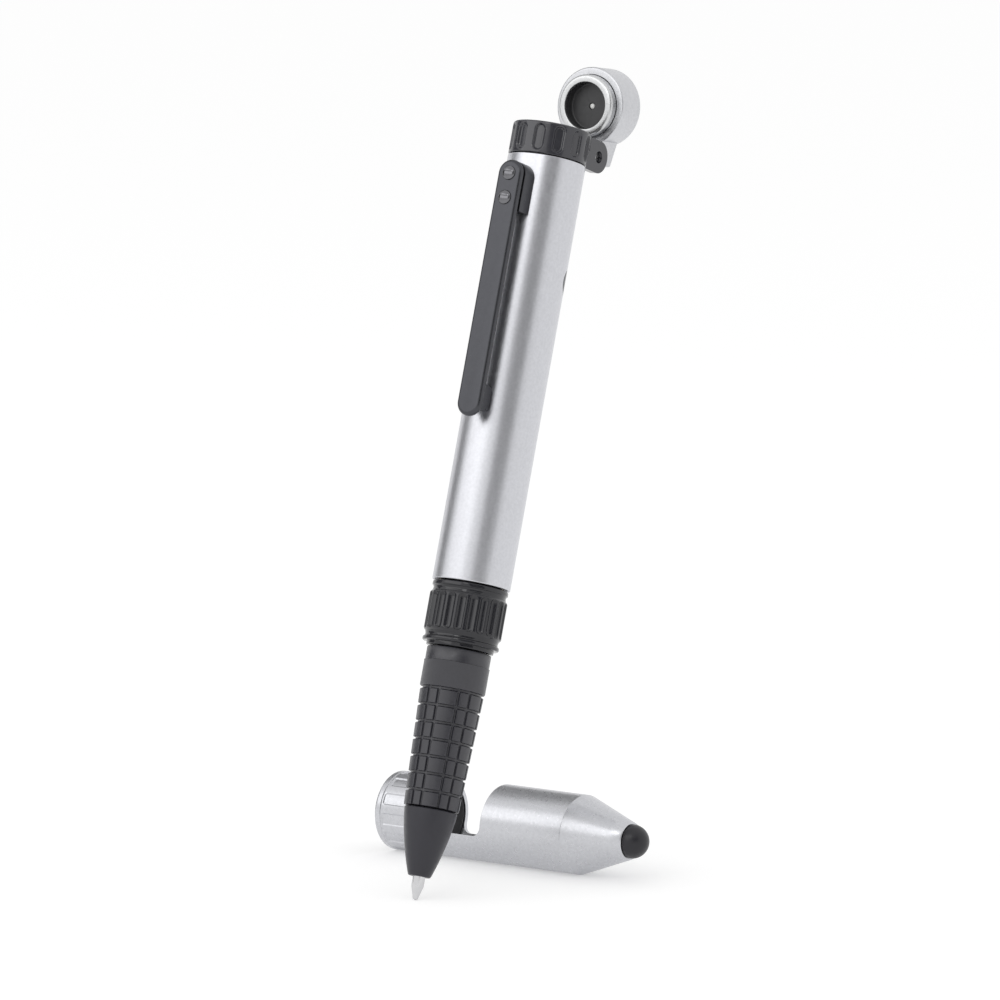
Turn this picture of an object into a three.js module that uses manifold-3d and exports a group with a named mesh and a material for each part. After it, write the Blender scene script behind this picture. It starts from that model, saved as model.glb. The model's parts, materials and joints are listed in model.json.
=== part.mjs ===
// A metal multifunction pen: ballpoint with a ribbed grip, barrel with a pocket clip and a push
// button, slotted top ring with a flip-up lamp, and a cap with a phone slot and a stylus tip.
// The pen leans on its ball with the lamp open, and the cap lies beside it, taken off.
// Millimetres, +Z up. The origin is on the pen's axis in the middle of the ribbed grip.
// The pen is built upright from its ball upwards: clip towards -Y, lamp hinge towards +Y.

import * as THREE from 'three';
import { mergeVertices } from 'three/addons/utils/BufferGeometryUtils.js';
import Module from 'manifold-3d';

const wasm = await Module();
wasm.setup();

const degrees = THREE.MathUtils.degToRad;

// How the two parts lie
const LEAN_BACK = degrees(17.37);
const LEAN_SIDE = degrees(0.74);
const PEN_SPIN = degrees(5);
const HEAD_TILT = degrees(10.1);
const CAP_MOUTH_X = -31.7;
const CAP_AXIS_Y = 28.0;
const CAP_ROLL = degrees(11);

// Clearances
const STACK_GAP = 0.2;
const FIT_GAP = 0.1;
const SEAT_GAP = 0.15;
const BALL_GAP = 0.03;
const RUN_GAP = 0.08;

// Sides of the round pieces, and steps of curves
const ROUND_SIDES = 36;
const SLEEVE_SIDES = 24;
const SMALL_SIDES = 20;
const PIN_SIDES = 12;
const ARC_STEPS = 6;
const SLOT_END_STEPS = 2;
const DOME_STEPS = 4;

// Ball, refill tip and refill
const BALL_RADIUS = 0.35;
const BALL_SHOWS = 0.15;
const MOUTH_WALL = 0.1;
const TIP_RADIUS = 1.05;
const TIP_TAPER_LENGTH = 2.1;
const TIP_EXPOSED = 3.86;
const TIP_SHOULDER_LENGTH = 1.3;
const TIP_SHANK_LENGTH = 3;
const INK_RADIUS = 0.2;
const REFILL_RADIUS = 1.5;
const REFILL_WALL = 0.35;
const REFILL_TOP = 88;
const REFILL_PLUG_LENGTH = 3;
const VENT_RADIUS = 0.4;

// Nose cone
const CONE_LENGTH = 11.1;
const CONE_END_RADIUS = 1.85;
const CONE_END_ROUNDING = 0.28;
const CONE_TOP_RADIUS = 4.42;
const CONE_BULGE = 0.344;
const CONE_STEPS = 3;
const NOSE_SHELF_LENGTH = 1.6;
const NOSE_SOCKET_LENGTH = 4;

// Grip sleeve: rows of pads between ring grooves, and twelve columns, narrow and wide in turn
const PAD_ROWS = 7;
const PAD_PITCH = 2.815;
const PAD_GROOVE_WIDTH = 0.45;
const PAD_GROOVE_DEPTH = 0.4;
const PAD_COLUMN_PAIRS = 6;
const NARROW_COLUMN = degrees(22);
const COLUMN_PHASE = degrees(-3);
const GRIP_LOW_RADIUS = 4.56;
const GRIP_HIGH_RADIUS = 5.3;
const GRIP_BAND_RADIUS = 5.43;
const GRIP_BAND_LENGTH = 4.3;
const GRIP_CUFF_RADIUS = 5.33;
const GRIP_CUFF_LENGTH = 2.3;
const PARTING_GROOVE = 0.12;
const CORE_RADIUS = 3.4;
const CORE_BORE = 1.75;
const CORE_SPIGOT_RADIUS = 2.6;
const CORE_TOP_LENGTH = 4.4;

// Collar between grip and barrel
const COLLAR_SEAT_RADIUS = 5.6;
const COLLAR_SEAT_LENGTH = 0.65;
const LOWER_LIP_RADIUS = 6.38;
const LOWER_LIP_LENGTH = 0.75;
const WAIST_RADIUS = 6.12;
const WAIST_LENGTH = 1.15;
const FLUTED_RADIUS = 6.48;
const FLUTED_LENGTH = 6.2;
const UPPER_LIP_RADIUS = 6.3;
const UPPER_LIP_LENGTH = 0.75;
const COLLAR_CHAMFER = 0.15;
const FLUTE_COUNT = 22;
const FLUTE_WIDTH = 1.4;
const FLUTE_LENGTH = 6.2;
const FLUTE_DEPTH = 0.4;
const COLLAR_SPIGOT_LENGTH = 8;

// Barrel
const BARREL_RADIUS = 6.5;
const BARREL_WALL = 0.9;
const INSERT_WALL = 0.4;
const BARREL_LENGTH = 71.55;
const BARREL_CHAMFER = 0.15;

// Pocket clip, its spacer and screws
const CLIP_WIDTH = 4.5;
const CLIP_LENGTH = 43;
const CLIP_THICKNESS = 1.4;
const CLIP_CHAMFER = 0.2;
const CLIP_BELOW_TOP = 2.1;
const SPACER_HEIGHT = 2.6;
const SPACER_LENGTH = 8.3;
const BUMP_LENGTH = 4.6;
const BUMP_WIDTH = 3.6;
const BUMP_CLEARANCE = 0.4;
const SCREW_HEAD_RADIUS = 1.2;
const SCREW_HEAD_HEIGHT = 0.55;
const SCREW_RADIUS = 0.5;
const SCREW_TIP_LENGTH = 0.9;
const SCREW_PLACES = [2.3, 6.4];
const SCREW_SWING_GAP = 0.3;

// Push button and its switch
const BUTTON_ANGLE = degrees(124);
const BUTTON_BELOW_TOP = 19.5;
const BUTTON_RADIUS = 2.1;
const BUTTON_FLANGE = 0.6;
const BUTTON_FLANGE_THICKNESS = 0.45;
const BUTTON_TRAVEL = 0.4;
const BUTTON_REST_GAP = 0.05;
const SWITCH_WIDTH = 3.2;
const SWITCH_HEIGHT = 1.45;
const SWITCH_PLUNGER_RADIUS = 0.8;
const SWITCH_PLUNGER_LENGTH = 0.25;
const BOARD_THICKNESS = 0.8;
const BOARD_WIDTH = 8.2;
const BOARD_LENGTH = 11.5;

// Battery
const CELL_COUNT = 3;
const CELL_RADIUS = 3.95;
const CELL_HEIGHT = 3.6;
const CARRIER_FLOOR = 1;
const CARRIER_FOOT_LENGTH = 15;
const SPRING_RADIUS = 3.2;
const SPRING_WALL = 0.7;

// Top ring with the hinge ears
const RING_RADIUS = 6.53;
const RING_HEIGHT = 5.35;
const RING_CHAMFER = 0.3;
const RING_WEB = 0.9;
const RING_SPIGOT_LENGTH = 4;
const RING_SPIGOT_SPACE = 0.5;
const SOCKET_DEPTH = 2.4;
const SOCKET_GAP = 0.25;
const SOCKET_CHAMFER = 0.4;
const SLOT_COUNT = 12;
const SLOT_WIDTH = 2;
const SLOT_LENGTH = 4.6;
const SLOT_DEPTH = 0.45;
const SLOT_FREE_ZONE = degrees(46);
const EAR_INNER = 3.15;
const EAR_THICKNESS = 1.35;
const EAR_ROOT = 4.5;
const PIVOT_REACH = 8.45;
const PIN_RADIUS = 0.9;
const PIN_RECESS = 0.6;
const RELIEF_REACH = 5.35;
const STUD_RADIUS = 0.75;

// Lamp head
const HEAD_GAP = 0.35;
const DRUM_RADIUS = 6.5;
const DRUM_DEPTH = 5.65;
const DRUM_BACK = 0.9;
const DRUM_CHAMFER = 0.4;
const LUG_WIDTH = 6;
const LUG_NOSE_RADIUS = 1.65;
const LUG_FOOT_REACH = 6.15;
const LUG_FOOT_DROP = 4.125;
const LUG_SHOULDER = 1;
const BEZEL_RADIUS = 5.2;
const BEZEL_PROUD = 1.65;
const BEZEL_SEATED = 3;
const BEZEL_CHAMFER = 0.5;
const BEZEL_LIP = 0.5;
const RECESS_RADIUS = 3.95;
const RECESS_DEPTH = 2.3;
const CUP_RADIUS = 4.4;
const CUP_FLOOR = 0.6;
const LENS_RADIUS = 0.45;
const LED_RADIUS = 1.5;
const LED_LENGTH = 2;
const LED_BOARD_THICKNESS = 0.8;

// Cap
const CAP_RADIUS = 6.7;
const CAP_WALL = 0.68;
const CAP_RING_LENGTH = 9.7;
const PHONE_SLOT_LENGTH = 13;
const PHONE_SLOT_FLOOR = -2.53;
const PHONE_SLOT_ROUNDING = 1.8;
const CAP_BODY_LENGTH = 16.8;
const CAP_CONE_LENGTH = 10;
const CAP_CONE_END_RADIUS = 3.1;
const CAP_EDGE_CHAMFER = 0.5;
const CAP_SLOT_LENGTH = 6.4;
const CAP_SLOT_WIDTH = 2.1;
const CAP_SLOT_DEPTH = 0.2;
const LINER_WALL = 0.34;
const LINER_INSET = 0.5;
const STYLUS_RADIUS = 2.85;
const STYLUS_STEM_RADIUS = 2.2;
const STYLUS_STEM_LENGTH = 2.8;
const STYLUS_CORE_RADIUS = 1.1;
const STYLUS_CORE_REACH = 0.9;
const STYLUS_FLANGE_RADIUS = 3;
const STYLUS_FLANGE_THICKNESS = 1;

// Heights along the pen, from the ball upwards
const coneBottom = TIP_EXPOSED;
const coneTop = coneBottom + CONE_LENGTH;
const noseShelf = coneBottom + NOSE_SHELF_LENGTH;
const sleeveBottom = coneTop + STACK_GAP;
const padsTop = sleeveBottom + PAD_ROWS * PAD_PITCH;
const partingLine = padsTop + GRIP_BAND_LENGTH;
const sleeveTop = partingLine + GRIP_CUFF_LENGTH;
const collarBottom = sleeveTop + STACK_GAP;
const lowerLip = collarBottom + COLLAR_SEAT_LENGTH;
const lowerWaist = lowerLip + LOWER_LIP_LENGTH;
const flutedBottom = lowerWaist + WAIST_LENGTH;
const flutedTop = flutedBottom + FLUTED_LENGTH;
const upperLip = flutedTop + WAIST_LENGTH;
const collarTop = upperLip + UPPER_LIP_LENGTH;
const spigotTop = collarTop + COLLAR_SPIGOT_LENGTH;
const barrelBottom = collarTop + STACK_GAP;
const barrelTop = barrelBottom + BARREL_LENGTH;
const ringBottom = barrelTop + STACK_GAP;
const ringTop = ringBottom + RING_HEIGHT;
const socketFloor = ringTop - SOCKET_DEPTH;
const webBottom = socketFloor - RING_WEB;
const ringSpigotBottom = ringBottom - RING_SPIGOT_LENGTH;
const gripMiddle = sleeveBottom + PAD_ROWS * PAD_PITCH / 2;

// Radii shared by pieces that fit each other
const barrelBore = BARREL_RADIUS - BARREL_WALL;
const refillBore = REFILL_RADIUS + FIT_GAP;
const insertBore = barrelBore - FIT_GAP - INSERT_WALL;
const collarSpigotRadius = insertBore - FIT_GAP;
const cellPocket = CELL_RADIUS + FIT_GAP;
const socketRadius = BEZEL_RADIUS + SOCKET_GAP;

// Places of the clip, distances from the pen's axis
const clipTop = barrelTop - CLIP_BELOW_TOP;
const clipBottom = clipTop - CLIP_LENGTH;
const spacerFace = BARREL_RADIUS + SPACER_HEIGHT;
const clipInnerFace = spacerFace + FIT_GAP;
const clipOuterFace = clipInnerFace + CLIP_THICKNESS;

// Places of the button and its switch, distances from the pen's axis
const buttonLevel = barrelTop - BUTTON_BELOW_TOP;
const flangeRadius = BUTTON_RADIUS + BUTTON_FLANGE;
const flangeFace = Math.sqrt(barrelBore ** 2 - flangeRadius ** 2) - FIT_GAP;
const flangeBack = flangeFace - BUTTON_FLANGE_THICKNESS;
const switchTop = flangeBack - BUTTON_TRAVEL - BUTTON_REST_GAP;
const switchBottom = switchTop - SWITCH_HEIGHT;
const boardFace = switchBottom - FIT_GAP;
const boardSeat = boardFace - BOARD_THICKNESS - FIT_GAP;

// Places of the battery
const springTop = webBottom - FIT_GAP;
const springBottom = springTop - 2;
const cellPitch = CELL_HEIGHT + FIT_GAP;
const cellsBottom = springBottom - CELL_COUNT * cellPitch;
const carrierTop = ringSpigotBottom - STACK_GAP;
const carrierFloorBottom = cellsBottom - FIT_GAP - CARRIER_FLOOR;
const carrierBottom = carrierFloorBottom - CARRIER_FOOT_LENGTH;

// Places of the lamp head, square to the pen
const pivotLevel = ringTop - RING_HEIGHT / 2;
const drumFront = PIVOT_REACH + RING_HEIGHT / 2 + HEAD_GAP;
const drumBack = drumFront + DRUM_DEPTH;
const drumLevel = pivotLevel + PIVOT_REACH;
const drumBore = BEZEL_RADIUS + FIT_GAP;
const bezelFront = drumFront - BEZEL_PROUD;
const cupFront = bezelFront + BEZEL_LIP + FIT_GAP;
const cupFloorFront = bezelFront + RECESS_DEPTH;
const cupFloorBack = cupFloorFront + CUP_FLOOR;
const ledFront = cupFloorBack + FIT_GAP;
const ledBack = ledFront + LED_LENGTH;

// Places along the cap, from its mouth
const phoneSlotEnd = CAP_RING_LENGTH + PHONE_SLOT_LENGTH;
const capShoulder = phoneSlotEnd + CAP_BODY_LENGTH;
const capEnd = capShoulder + CAP_CONE_LENGTH;
const capBore = CAP_RADIUS - CAP_WALL;
const stemPocketBottom = capEnd - STYLUS_STEM_LENGTH - STACK_GAP;
const cavityEnd = stemPocketBottom - STYLUS_FLANGE_THICKNESS;
const linerRadius = capBore - FIT_GAP;

// Colours and finishes
function finish(color, roughness, metalness) {
  return new THREE.MeshStandardMaterial({ color, roughness, metalness });
}

const satinSilver = finish(0xc2c3c7, 0.38, 0.85);
const brushedSilver = finish(0xc6c7ca, 0.32, 0.9);
const steel = finish(0xb9babd, 0.2, 1);
const brass = finish(0xb89a58, 0.3, 0.9);
const darkMetal = finish(0x4d4d50, 0.45, 0.6);
const glossBlack = finish(0x17171a, 0.15, 0.1);
const satinBlack = finish(0x232326, 0.4, 0.1);
const gripBlack = finish(0x47474b, 0.7, 0);
const rubberBlack = finish(0x2d2d30, 0.6, 0);
const innerPlastic = finish(0x3a3a3d, 0.6, 0);
const clearPlastic = finish(0xd8dce0, 0.2, 0);
const boardGreen = finish(0x2f6b46, 0.5, 0);
const lensWhite = finish(0xf4f4f0, 0.1, 0);

// Closed meshes to solids and back
function solidOf(geometry) {
  const bare = new THREE.BufferGeometry();
  bare.setAttribute('position', geometry.getAttribute('position').clone());
  if (geometry.index) {
    bare.setIndex(geometry.index.clone());
  }
  const merged = mergeVertices(bare);
  const corners = merged.index.array;
  const kept = [];
  for (let i = 0; i < corners.length; i += 3) {
    const [a, b, c] = [corners[i], corners[i + 1], corners[i + 2]];
    if (a !== b && b !== c && c !== a) {
      kept.push(a, b, c);
    }
  }
  return new wasm.Manifold(new wasm.Mesh({
    numProp: 3,
    vertProperties: new Float32Array(merged.getAttribute('position').array),
    triVerts: new Uint32Array(kept),
  }));
}

function geometryOf(solid) {
  const mesh = solid.getMesh();
  const geometry = new THREE.BufferGeometry();
  geometry.setAttribute('position', new THREE.BufferAttribute(mesh.vertProperties, 3));
  geometry.setIndex(new THREE.BufferAttribute(mesh.triVerts, 1));
  geometry.computeVertexNormals();
  return geometry;
}

function cut(solid, tools) {
  return tools.reduce((left, tool) => left.subtract(tool), solid);
}

function join(solids) {
  return solids.reduce((left, right) => left.add(right));
}

// A turned piece about Z, from an outline of [radius, height] that starts and ends on the axis
function turned(outline, sides) {
  const points = outline.map(([radius, height]) => new THREE.Vector2(radius, height));
  const geometry = new THREE.LatheGeometry(points, sides);
  geometry.rotateX(Math.PI / 2);
  return geometry;
}

// A turned piece with a hole, from an outline that closes on itself
function turnedRing(outline, sides) {
  return turned([...outline, outline[0]], sides);
}

function rod(radius, bottom, top, sides) {
  return turned([[0, bottom], [radius, bottom], [radius, top], [0, top]], sides);
}

function tube(bore, radius, bottom, top, sides) {
  return turnedRing([[bore, bottom], [radius, bottom], [radius, top], [bore, top]], sides);
}

// A piece drawn with +Z pointing outwards, set at an angle round the pen from the clip's side
function outwards(geometry, angle, level) {
  geometry.rotateX(Math.PI / 2);
  geometry.rotateZ(angle);
  geometry.translate(0, 0, level);
  return geometry;
}

// A profile of (distance along +Y, height), drawn as a slab across X
function across(shape, width) {
  const geometry = new THREE.ExtrudeGeometry(shape, {
    depth: width,
    bevelEnabled: false,
    curveSegments: ARC_STEPS,
  });
  geometry.translate(0, 0, -width / 2);
  geometry.rotateX(Math.PI / 2);
  geometry.rotateZ(Math.PI / 2);
  return geometry;
}

// A bar outline with two round ends, centred, its length along Y
function stadium(width, length) {
  const radius = width / 2;
  const straight = length / 2 - radius;
  const shape = new THREE.Shape();
  shape.moveTo(radius, -straight);
  shape.lineTo(radius, straight);
  shape.absarc(0, straight, radius, 0, Math.PI, false);
  shape.lineTo(-radius, -straight);
  shape.absarc(0, -straight, radius, Math.PI, 2 * Math.PI, false);
  return shape;
}

// A round-ended slot sunk into a round surface
function slotTool(width, length, floorRadius, reach, angle, level) {
  const geometry = new THREE.ExtrudeGeometry(stadium(width, length), {
    depth: reach,
    bevelEnabled: false,
    curveSegments: SLOT_END_STEPS,
  });
  geometry.translate(0, 0, floorRadius);
  return solidOf(outwards(geometry, angle, level));
}

// Ball and refill
function writingBall() {
  const geometry = new THREE.SphereGeometry(BALL_RADIUS, PIN_SIDES, PIN_SIDES / 2);
  geometry.rotateX(Math.PI / 2);
  geometry.translate(0, 0, BALL_RADIUS);
  return geometry;
}

function refillTip() {
  const mouthBore = Math.sqrt(BALL_RADIUS ** 2 - (BALL_RADIUS - BALL_SHOWS) ** 2) + BALL_GAP;
  const seat = BALL_RADIUS + BALL_GAP;
  const shoulder = noseShelf + FIT_GAP;
  const shoulderTop = shoulder + TIP_SHOULDER_LENGTH;
  const shank = REFILL_RADIUS - REFILL_WALL - FIT_GAP;
  const shankTop = shoulderTop + TIP_SHANK_LENGTH;
  return turnedRing([
    [mouthBore, BALL_SHOWS],
    [mouthBore + MOUTH_WALL, BALL_SHOWS],
    [TIP_RADIUS, BALL_SHOWS + TIP_TAPER_LENGTH],
    [TIP_RADIUS, shoulder],
    [REFILL_RADIUS, shoulder],
    [REFILL_RADIUS, shoulderTop],
    [shank, shoulderTop],
    [shank, shankTop],
    [INK_RADIUS, shankTop],
    [INK_RADIUS, 2 * BALL_RADIUS + BALL_GAP],
    [seat, 2 * BALL_RADIUS + BALL_GAP],
    [seat, BALL_RADIUS],
  ], SMALL_SIDES);
}

function refillTube() {
  const bottom = noseShelf + FIT_GAP + TIP_SHOULDER_LENGTH + FIT_GAP;
  return tube(REFILL_RADIUS - REFILL_WALL, REFILL_RADIUS, bottom, REFILL_TOP, SMALL_SIDES);
}

function refillPlug() {
  const radius = REFILL_RADIUS - REFILL_WALL - FIT_GAP;
  return tube(VENT_RADIUS, radius, REFILL_TOP - REFILL_PLUG_LENGTH, REFILL_TOP, SMALL_SIDES);
}

// Nose cone, a little rounder than a straight cone
function noseCone() {
  const outside = [];
  for (let i = 0; i <= CONE_STEPS; i += 1) {
    const t = i / CONE_STEPS;
    const straight = THREE.MathUtils.lerp(CONE_END_RADIUS, CONE_TOP_RADIUS, t);
    const rise = i === 0 ? CONE_END_ROUNDING : t * CONE_LENGTH;
    outside.push([straight + 4 * CONE_BULGE * t * (1 - t), coneBottom + rise]);
  }
  const tipBore = TIP_RADIUS + FIT_GAP;
  const socket = CORE_SPIGOT_RADIUS + FIT_GAP;
  const socketBottom = coneTop - NOSE_SOCKET_LENGTH;
  return turnedRing([
    [tipBore, coneBottom],
    [CONE_END_RADIUS - CONE_END_ROUNDING, coneBottom],
    ...outside,
    [socket, coneTop],
    [socket, socketBottom],
    [refillBore, socketBottom],
    [refillBore, noseShelf],
    [tipBore, noseShelf],
  ], ROUND_SIDES);
}

// Grip sleeve
function gripRadius(height) {
  const t = (height - sleeveBottom) / (padsTop - sleeveBottom);
  return THREE.MathUtils.lerp(GRIP_LOW_RADIUS, GRIP_HIGH_RADIUS, t);
}

function columnGroove(angle) {
  const shape = new THREE.Shape();
  const bottom = sleeveBottom - STACK_GAP / 2;
  const top = padsTop - PAD_GROOVE_WIDTH / 2;
  shape.moveTo(gripRadius(bottom) - PAD_GROOVE_DEPTH, bottom);
  shape.lineTo(gripRadius(bottom) + PAD_GROOVE_DEPTH, bottom);
  shape.lineTo(gripRadius(top) + PAD_GROOVE_DEPTH, top);
  shape.lineTo(gripRadius(top) - PAD_GROOVE_DEPTH, top);
  const geometry = across(shape, PAD_GROOVE_WIDTH);
  geometry.rotateZ(Math.PI + angle);
  return solidOf(geometry);
}

function gripSleeve() {
  const bore = CORE_RADIUS + FIT_GAP;
  const outline = [[bore, sleeveBottom]];
  for (let row = 0; row < PAD_ROWS; row += 1) {
    const bottom = sleeveBottom + row * PAD_PITCH;
    const top = bottom + PAD_PITCH;
    const groove = top - PAD_GROOVE_WIDTH;
    outline.push([gripRadius(bottom), bottom]);
    outline.push([gripRadius(groove), groove]);
    outline.push([gripRadius(top) - PAD_GROOVE_DEPTH, top - PAD_GROOVE_WIDTH / 2]);
  }
  outline.push([GRIP_BAND_RADIUS, padsTop]);
  outline.push([GRIP_BAND_RADIUS, partingLine - PARTING_GROOVE]);
  outline.push([GRIP_CUFF_RADIUS - PARTING_GROOVE, partingLine]);
  outline.push([GRIP_CUFF_RADIUS, partingLine + PARTING_GROOVE]);
  outline.push([GRIP_CUFF_RADIUS, sleeveTop]);
  outline.push([bore, sleeveTop]);
  const grooves = [];
  for (let pair = 0; pair < PAD_COLUMN_PAIRS; pair += 1) {
    const middle = COLUMN_PHASE + pair * 2 * Math.PI / PAD_COLUMN_PAIRS;
    grooves.push(columnGroove(middle - NARROW_COLUMN / 2));
    grooves.push(columnGroove(middle + NARROW_COLUMN / 2));
  }
  return geometryOf(cut(solidOf(turnedRing(outline, SLEEVE_SIDES)), grooves));
}

// Plastic core that the cone, the sleeve and the collar sit on
function gripCore() {
  const spigotBottom = coneTop - NOSE_SOCKET_LENGTH + STACK_GAP;
  const top = collarBottom + CORE_TOP_LENGTH;
  return turnedRing([
    [CORE_BORE, spigotBottom],
    [CORE_SPIGOT_RADIUS, spigotBottom],
    [CORE_SPIGOT_RADIUS, sleeveBottom],
    [CORE_RADIUS, sleeveBottom],
    [CORE_RADIUS, top],
    [CORE_BORE, top],
  ], SMALL_SIDES);
}

// Collar: seat for the cap, two lips, and a fluted band for the fingers
function collar() {
  const coreSocket = CORE_RADIUS + FIT_GAP;
  const socketTop = collarBottom + CORE_TOP_LENGTH + STACK_GAP;
  const body = solidOf(turnedRing([
    [coreSocket, collarBottom],
    [COLLAR_SEAT_RADIUS, collarBottom],
    [COLLAR_SEAT_RADIUS, lowerLip],
    [LOWER_LIP_RADIUS, lowerLip],
    [LOWER_LIP_RADIUS, lowerWaist - COLLAR_CHAMFER],
    [WAIST_RADIUS, lowerWaist + COLLAR_CHAMFER],
    [WAIST_RADIUS, flutedBottom - COLLAR_CHAMFER],
    [FLUTED_RADIUS, flutedBottom + COLLAR_CHAMFER],
    [FLUTED_RADIUS, flutedTop - COLLAR_CHAMFER],
    [WAIST_RADIUS, flutedTop + COLLAR_CHAMFER],
    [WAIST_RADIUS, upperLip - COLLAR_CHAMFER],
    [UPPER_LIP_RADIUS, upperLip + COLLAR_CHAMFER],
    [UPPER_LIP_RADIUS, collarTop],
    [collarSpigotRadius, collarTop],
    [collarSpigotRadius, spigotTop],
    [CORE_BORE, spigotTop],
    [CORE_BORE, socketTop],
    [coreSocket, socketTop],
  ], ROUND_SIDES));
  const middle = (flutedBottom + flutedTop) / 2;
  const flutes = [];
  for (let i = 0; i < FLUTE_COUNT; i += 1) {
    const angle = (i + 0.5) * 2 * Math.PI / FLUTE_COUNT;
    const floor = FLUTED_RADIUS - FLUTE_DEPTH;
    flutes.push(slotTool(FLUTE_WIDTH, FLUTE_LENGTH, floor, 2 * FLUTE_DEPTH, angle, middle));
  }
  return geometryOf(cut(body, flutes));
}

// Threaded insert in the barrel's lower end
function barrelInsert() {
  const radius = barrelBore - FIT_GAP;
  const bottom = barrelBottom + STACK_GAP;
  return tube(insertBore, radius, bottom, bottom + COLLAR_SPIGOT_LENGTH, ROUND_SIDES);
}

// A hole square to the barrel's wall, drawn outwards from the axis
function radialHole(radius, angle, level, sides) {
  return solidOf(outwards(rod(radius, barrelBore / 2, 2 * BARREL_RADIUS, sides), angle, level));
}

function barrel() {
  const shell = solidOf(turnedRing([
    [barrelBore, barrelBottom],
    [BARREL_RADIUS - BARREL_CHAMFER, barrelBottom],
    [BARREL_RADIUS, barrelBottom + BARREL_CHAMFER],
    [BARREL_RADIUS, barrelTop - BARREL_CHAMFER],
    [BARREL_RADIUS - BARREL_CHAMFER, barrelTop],
    [barrelBore, barrelTop],
  ], ROUND_SIDES));
  const buttonHole = radialHole(BUTTON_RADIUS + FIT_GAP, BUTTON_ANGLE, buttonLevel, SMALL_SIDES);
  const screwHoles = SCREW_PLACES.map((place) =>
    radialHole(SCREW_RADIUS + SCREW_SWING_GAP, 0, clipTop - place, PIN_SIDES));
  return geometryOf(cut(shell, [buttonHole, ...screwHoles]));
}

// Spacer under the clip, hollowed to sit on the barrel
function clipSpacer() {
  const radius = CLIP_WIDTH / 2;
  const shape = new THREE.Shape();
  shape.moveTo(radius, clipTop - SPACER_LENGTH);
  shape.lineTo(radius, clipTop - radius);
  shape.absarc(0, clipTop - radius, radius, 0, Math.PI, false);
  shape.lineTo(-radius, clipTop - SPACER_LENGTH);
  const geometry = new THREE.ExtrudeGeometry(shape, {
    depth: spacerFace - barrelBore,
    bevelEnabled: false,
    curveSegments: 2 * ARC_STEPS,
  });
  geometry.translate(0, 0, barrelBore);
  const block = solidOf(outwards(geometry, 0, 0));
  const seat = solidOf(rod(BARREL_RADIUS + SEAT_GAP, barrelBottom, ringTop, ROUND_SIDES));
  const holes = SCREW_PLACES.map((place) =>
    radialHole(SCREW_RADIUS + SCREW_SWING_GAP, 0, clipTop - place, PIN_SIDES));
  return geometryOf(cut(block, [seat, ...holes]));
}

// Clip: a flat bar with round ends and a bump that grips the pocket
function clip() {
  const middle = (clipTop + clipBottom) / 2;
  const bar = new THREE.ExtrudeGeometry(stadium(CLIP_WIDTH, CLIP_LENGTH), {
    depth: CLIP_THICKNESS - 2 * CLIP_CHAMFER,
    bevelEnabled: true,
    bevelThickness: CLIP_CHAMFER,
    bevelSize: CLIP_CHAMFER,
    bevelOffset: -CLIP_CHAMFER,
    bevelSegments: 1,
    curveSegments: 2 * ARC_STEPS,
  });
  bar.translate(0, 0, clipInnerFace + CLIP_CHAMFER);
  const bumpFace = BARREL_RADIUS + BUMP_CLEARANCE;
  const bumpBottom = clipBottom + CLIP_WIDTH / 4;
  const bumpSlope = (clipInnerFace - bumpFace) / 2;
  const overlap = CLIP_THICKNESS / 2;
  const bump = new THREE.Shape();
  bump.moveTo(-clipInnerFace - overlap, bumpBottom);
  bump.lineTo(-clipInnerFace, bumpBottom);
  bump.lineTo(-bumpFace, bumpBottom + bumpSlope);
  bump.lineTo(-bumpFace, bumpBottom + BUMP_LENGTH - bumpSlope);
  bump.lineTo(-clipInnerFace, bumpBottom + BUMP_LENGTH);
  bump.lineTo(-clipInnerFace - overlap, bumpBottom + BUMP_LENGTH);
  const whole = join([solidOf(outwards(bar, 0, middle)), solidOf(across(bump, BUMP_WIDTH))]);
  const holes = SCREW_PLACES.map((place) =>
    radialHole(SCREW_RADIUS + FIT_GAP, 0, clipTop - place, PIN_SIDES));
  return geometryOf(cut(whole, holes));
}

function clipScrew(place) {
  const headBottom = clipOuterFace + FIT_GAP / 2;
  const outline = [[0, barrelBore - SCREW_TIP_LENGTH], [SCREW_RADIUS, barrelBore - SCREW_TIP_LENGTH]];
  outline.push([SCREW_RADIUS, headBottom]);
  for (let i = 0; i < DOME_STEPS; i += 1) {
    const angle = i / DOME_STEPS * Math.PI / 2;
    outline.push([
      SCREW_HEAD_RADIUS * Math.cos(angle),
      headBottom + SCREW_HEAD_HEIGHT * Math.sin(angle),
    ]);
  }
  outline.push([0, headBottom + SCREW_HEAD_HEIGHT]);
  return outwards(turned(outline, PIN_SIDES), 0, clipTop - place);
}

// Push button: its face follows the barrel, and its flange keeps it inside
function lampButton() {
  const blank = solidOf(outwards(turned([
    [0, flangeBack],
    [flangeRadius, flangeBack],
    [flangeRadius, flangeFace],
    [BUTTON_RADIUS, flangeFace],
    [BUTTON_RADIUS, 2 * BARREL_RADIUS],
    [0, 2 * BARREL_RADIUS],
  ], SMALL_SIDES), BUTTON_ANGLE, buttonLevel));
  const span = 2 * flangeRadius;
  const barrelRound = rod(BARREL_RADIUS, buttonLevel - span, buttonLevel + span, ROUND_SIDES);
  return geometryOf(blank.intersect(solidOf(barrelRound)));
}

function tactSwitch() {
  const bodyTop = switchTop - SWITCH_PLUNGER_LENGTH;
  const box = new THREE.BoxGeometry(SWITCH_WIDTH, SWITCH_WIDTH, bodyTop - switchBottom);
  box.translate(0, 0, (bodyTop + switchBottom) / 2);
  const plunger = rod(SWITCH_PLUNGER_RADIUS, (bodyTop + switchBottom) / 2, switchTop, PIN_SIDES);
  const solids = [box, plunger].map((shape) => solidOf(outwards(shape, BUTTON_ANGLE, buttonLevel)));
  return geometryOf(join(solids));
}

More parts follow.
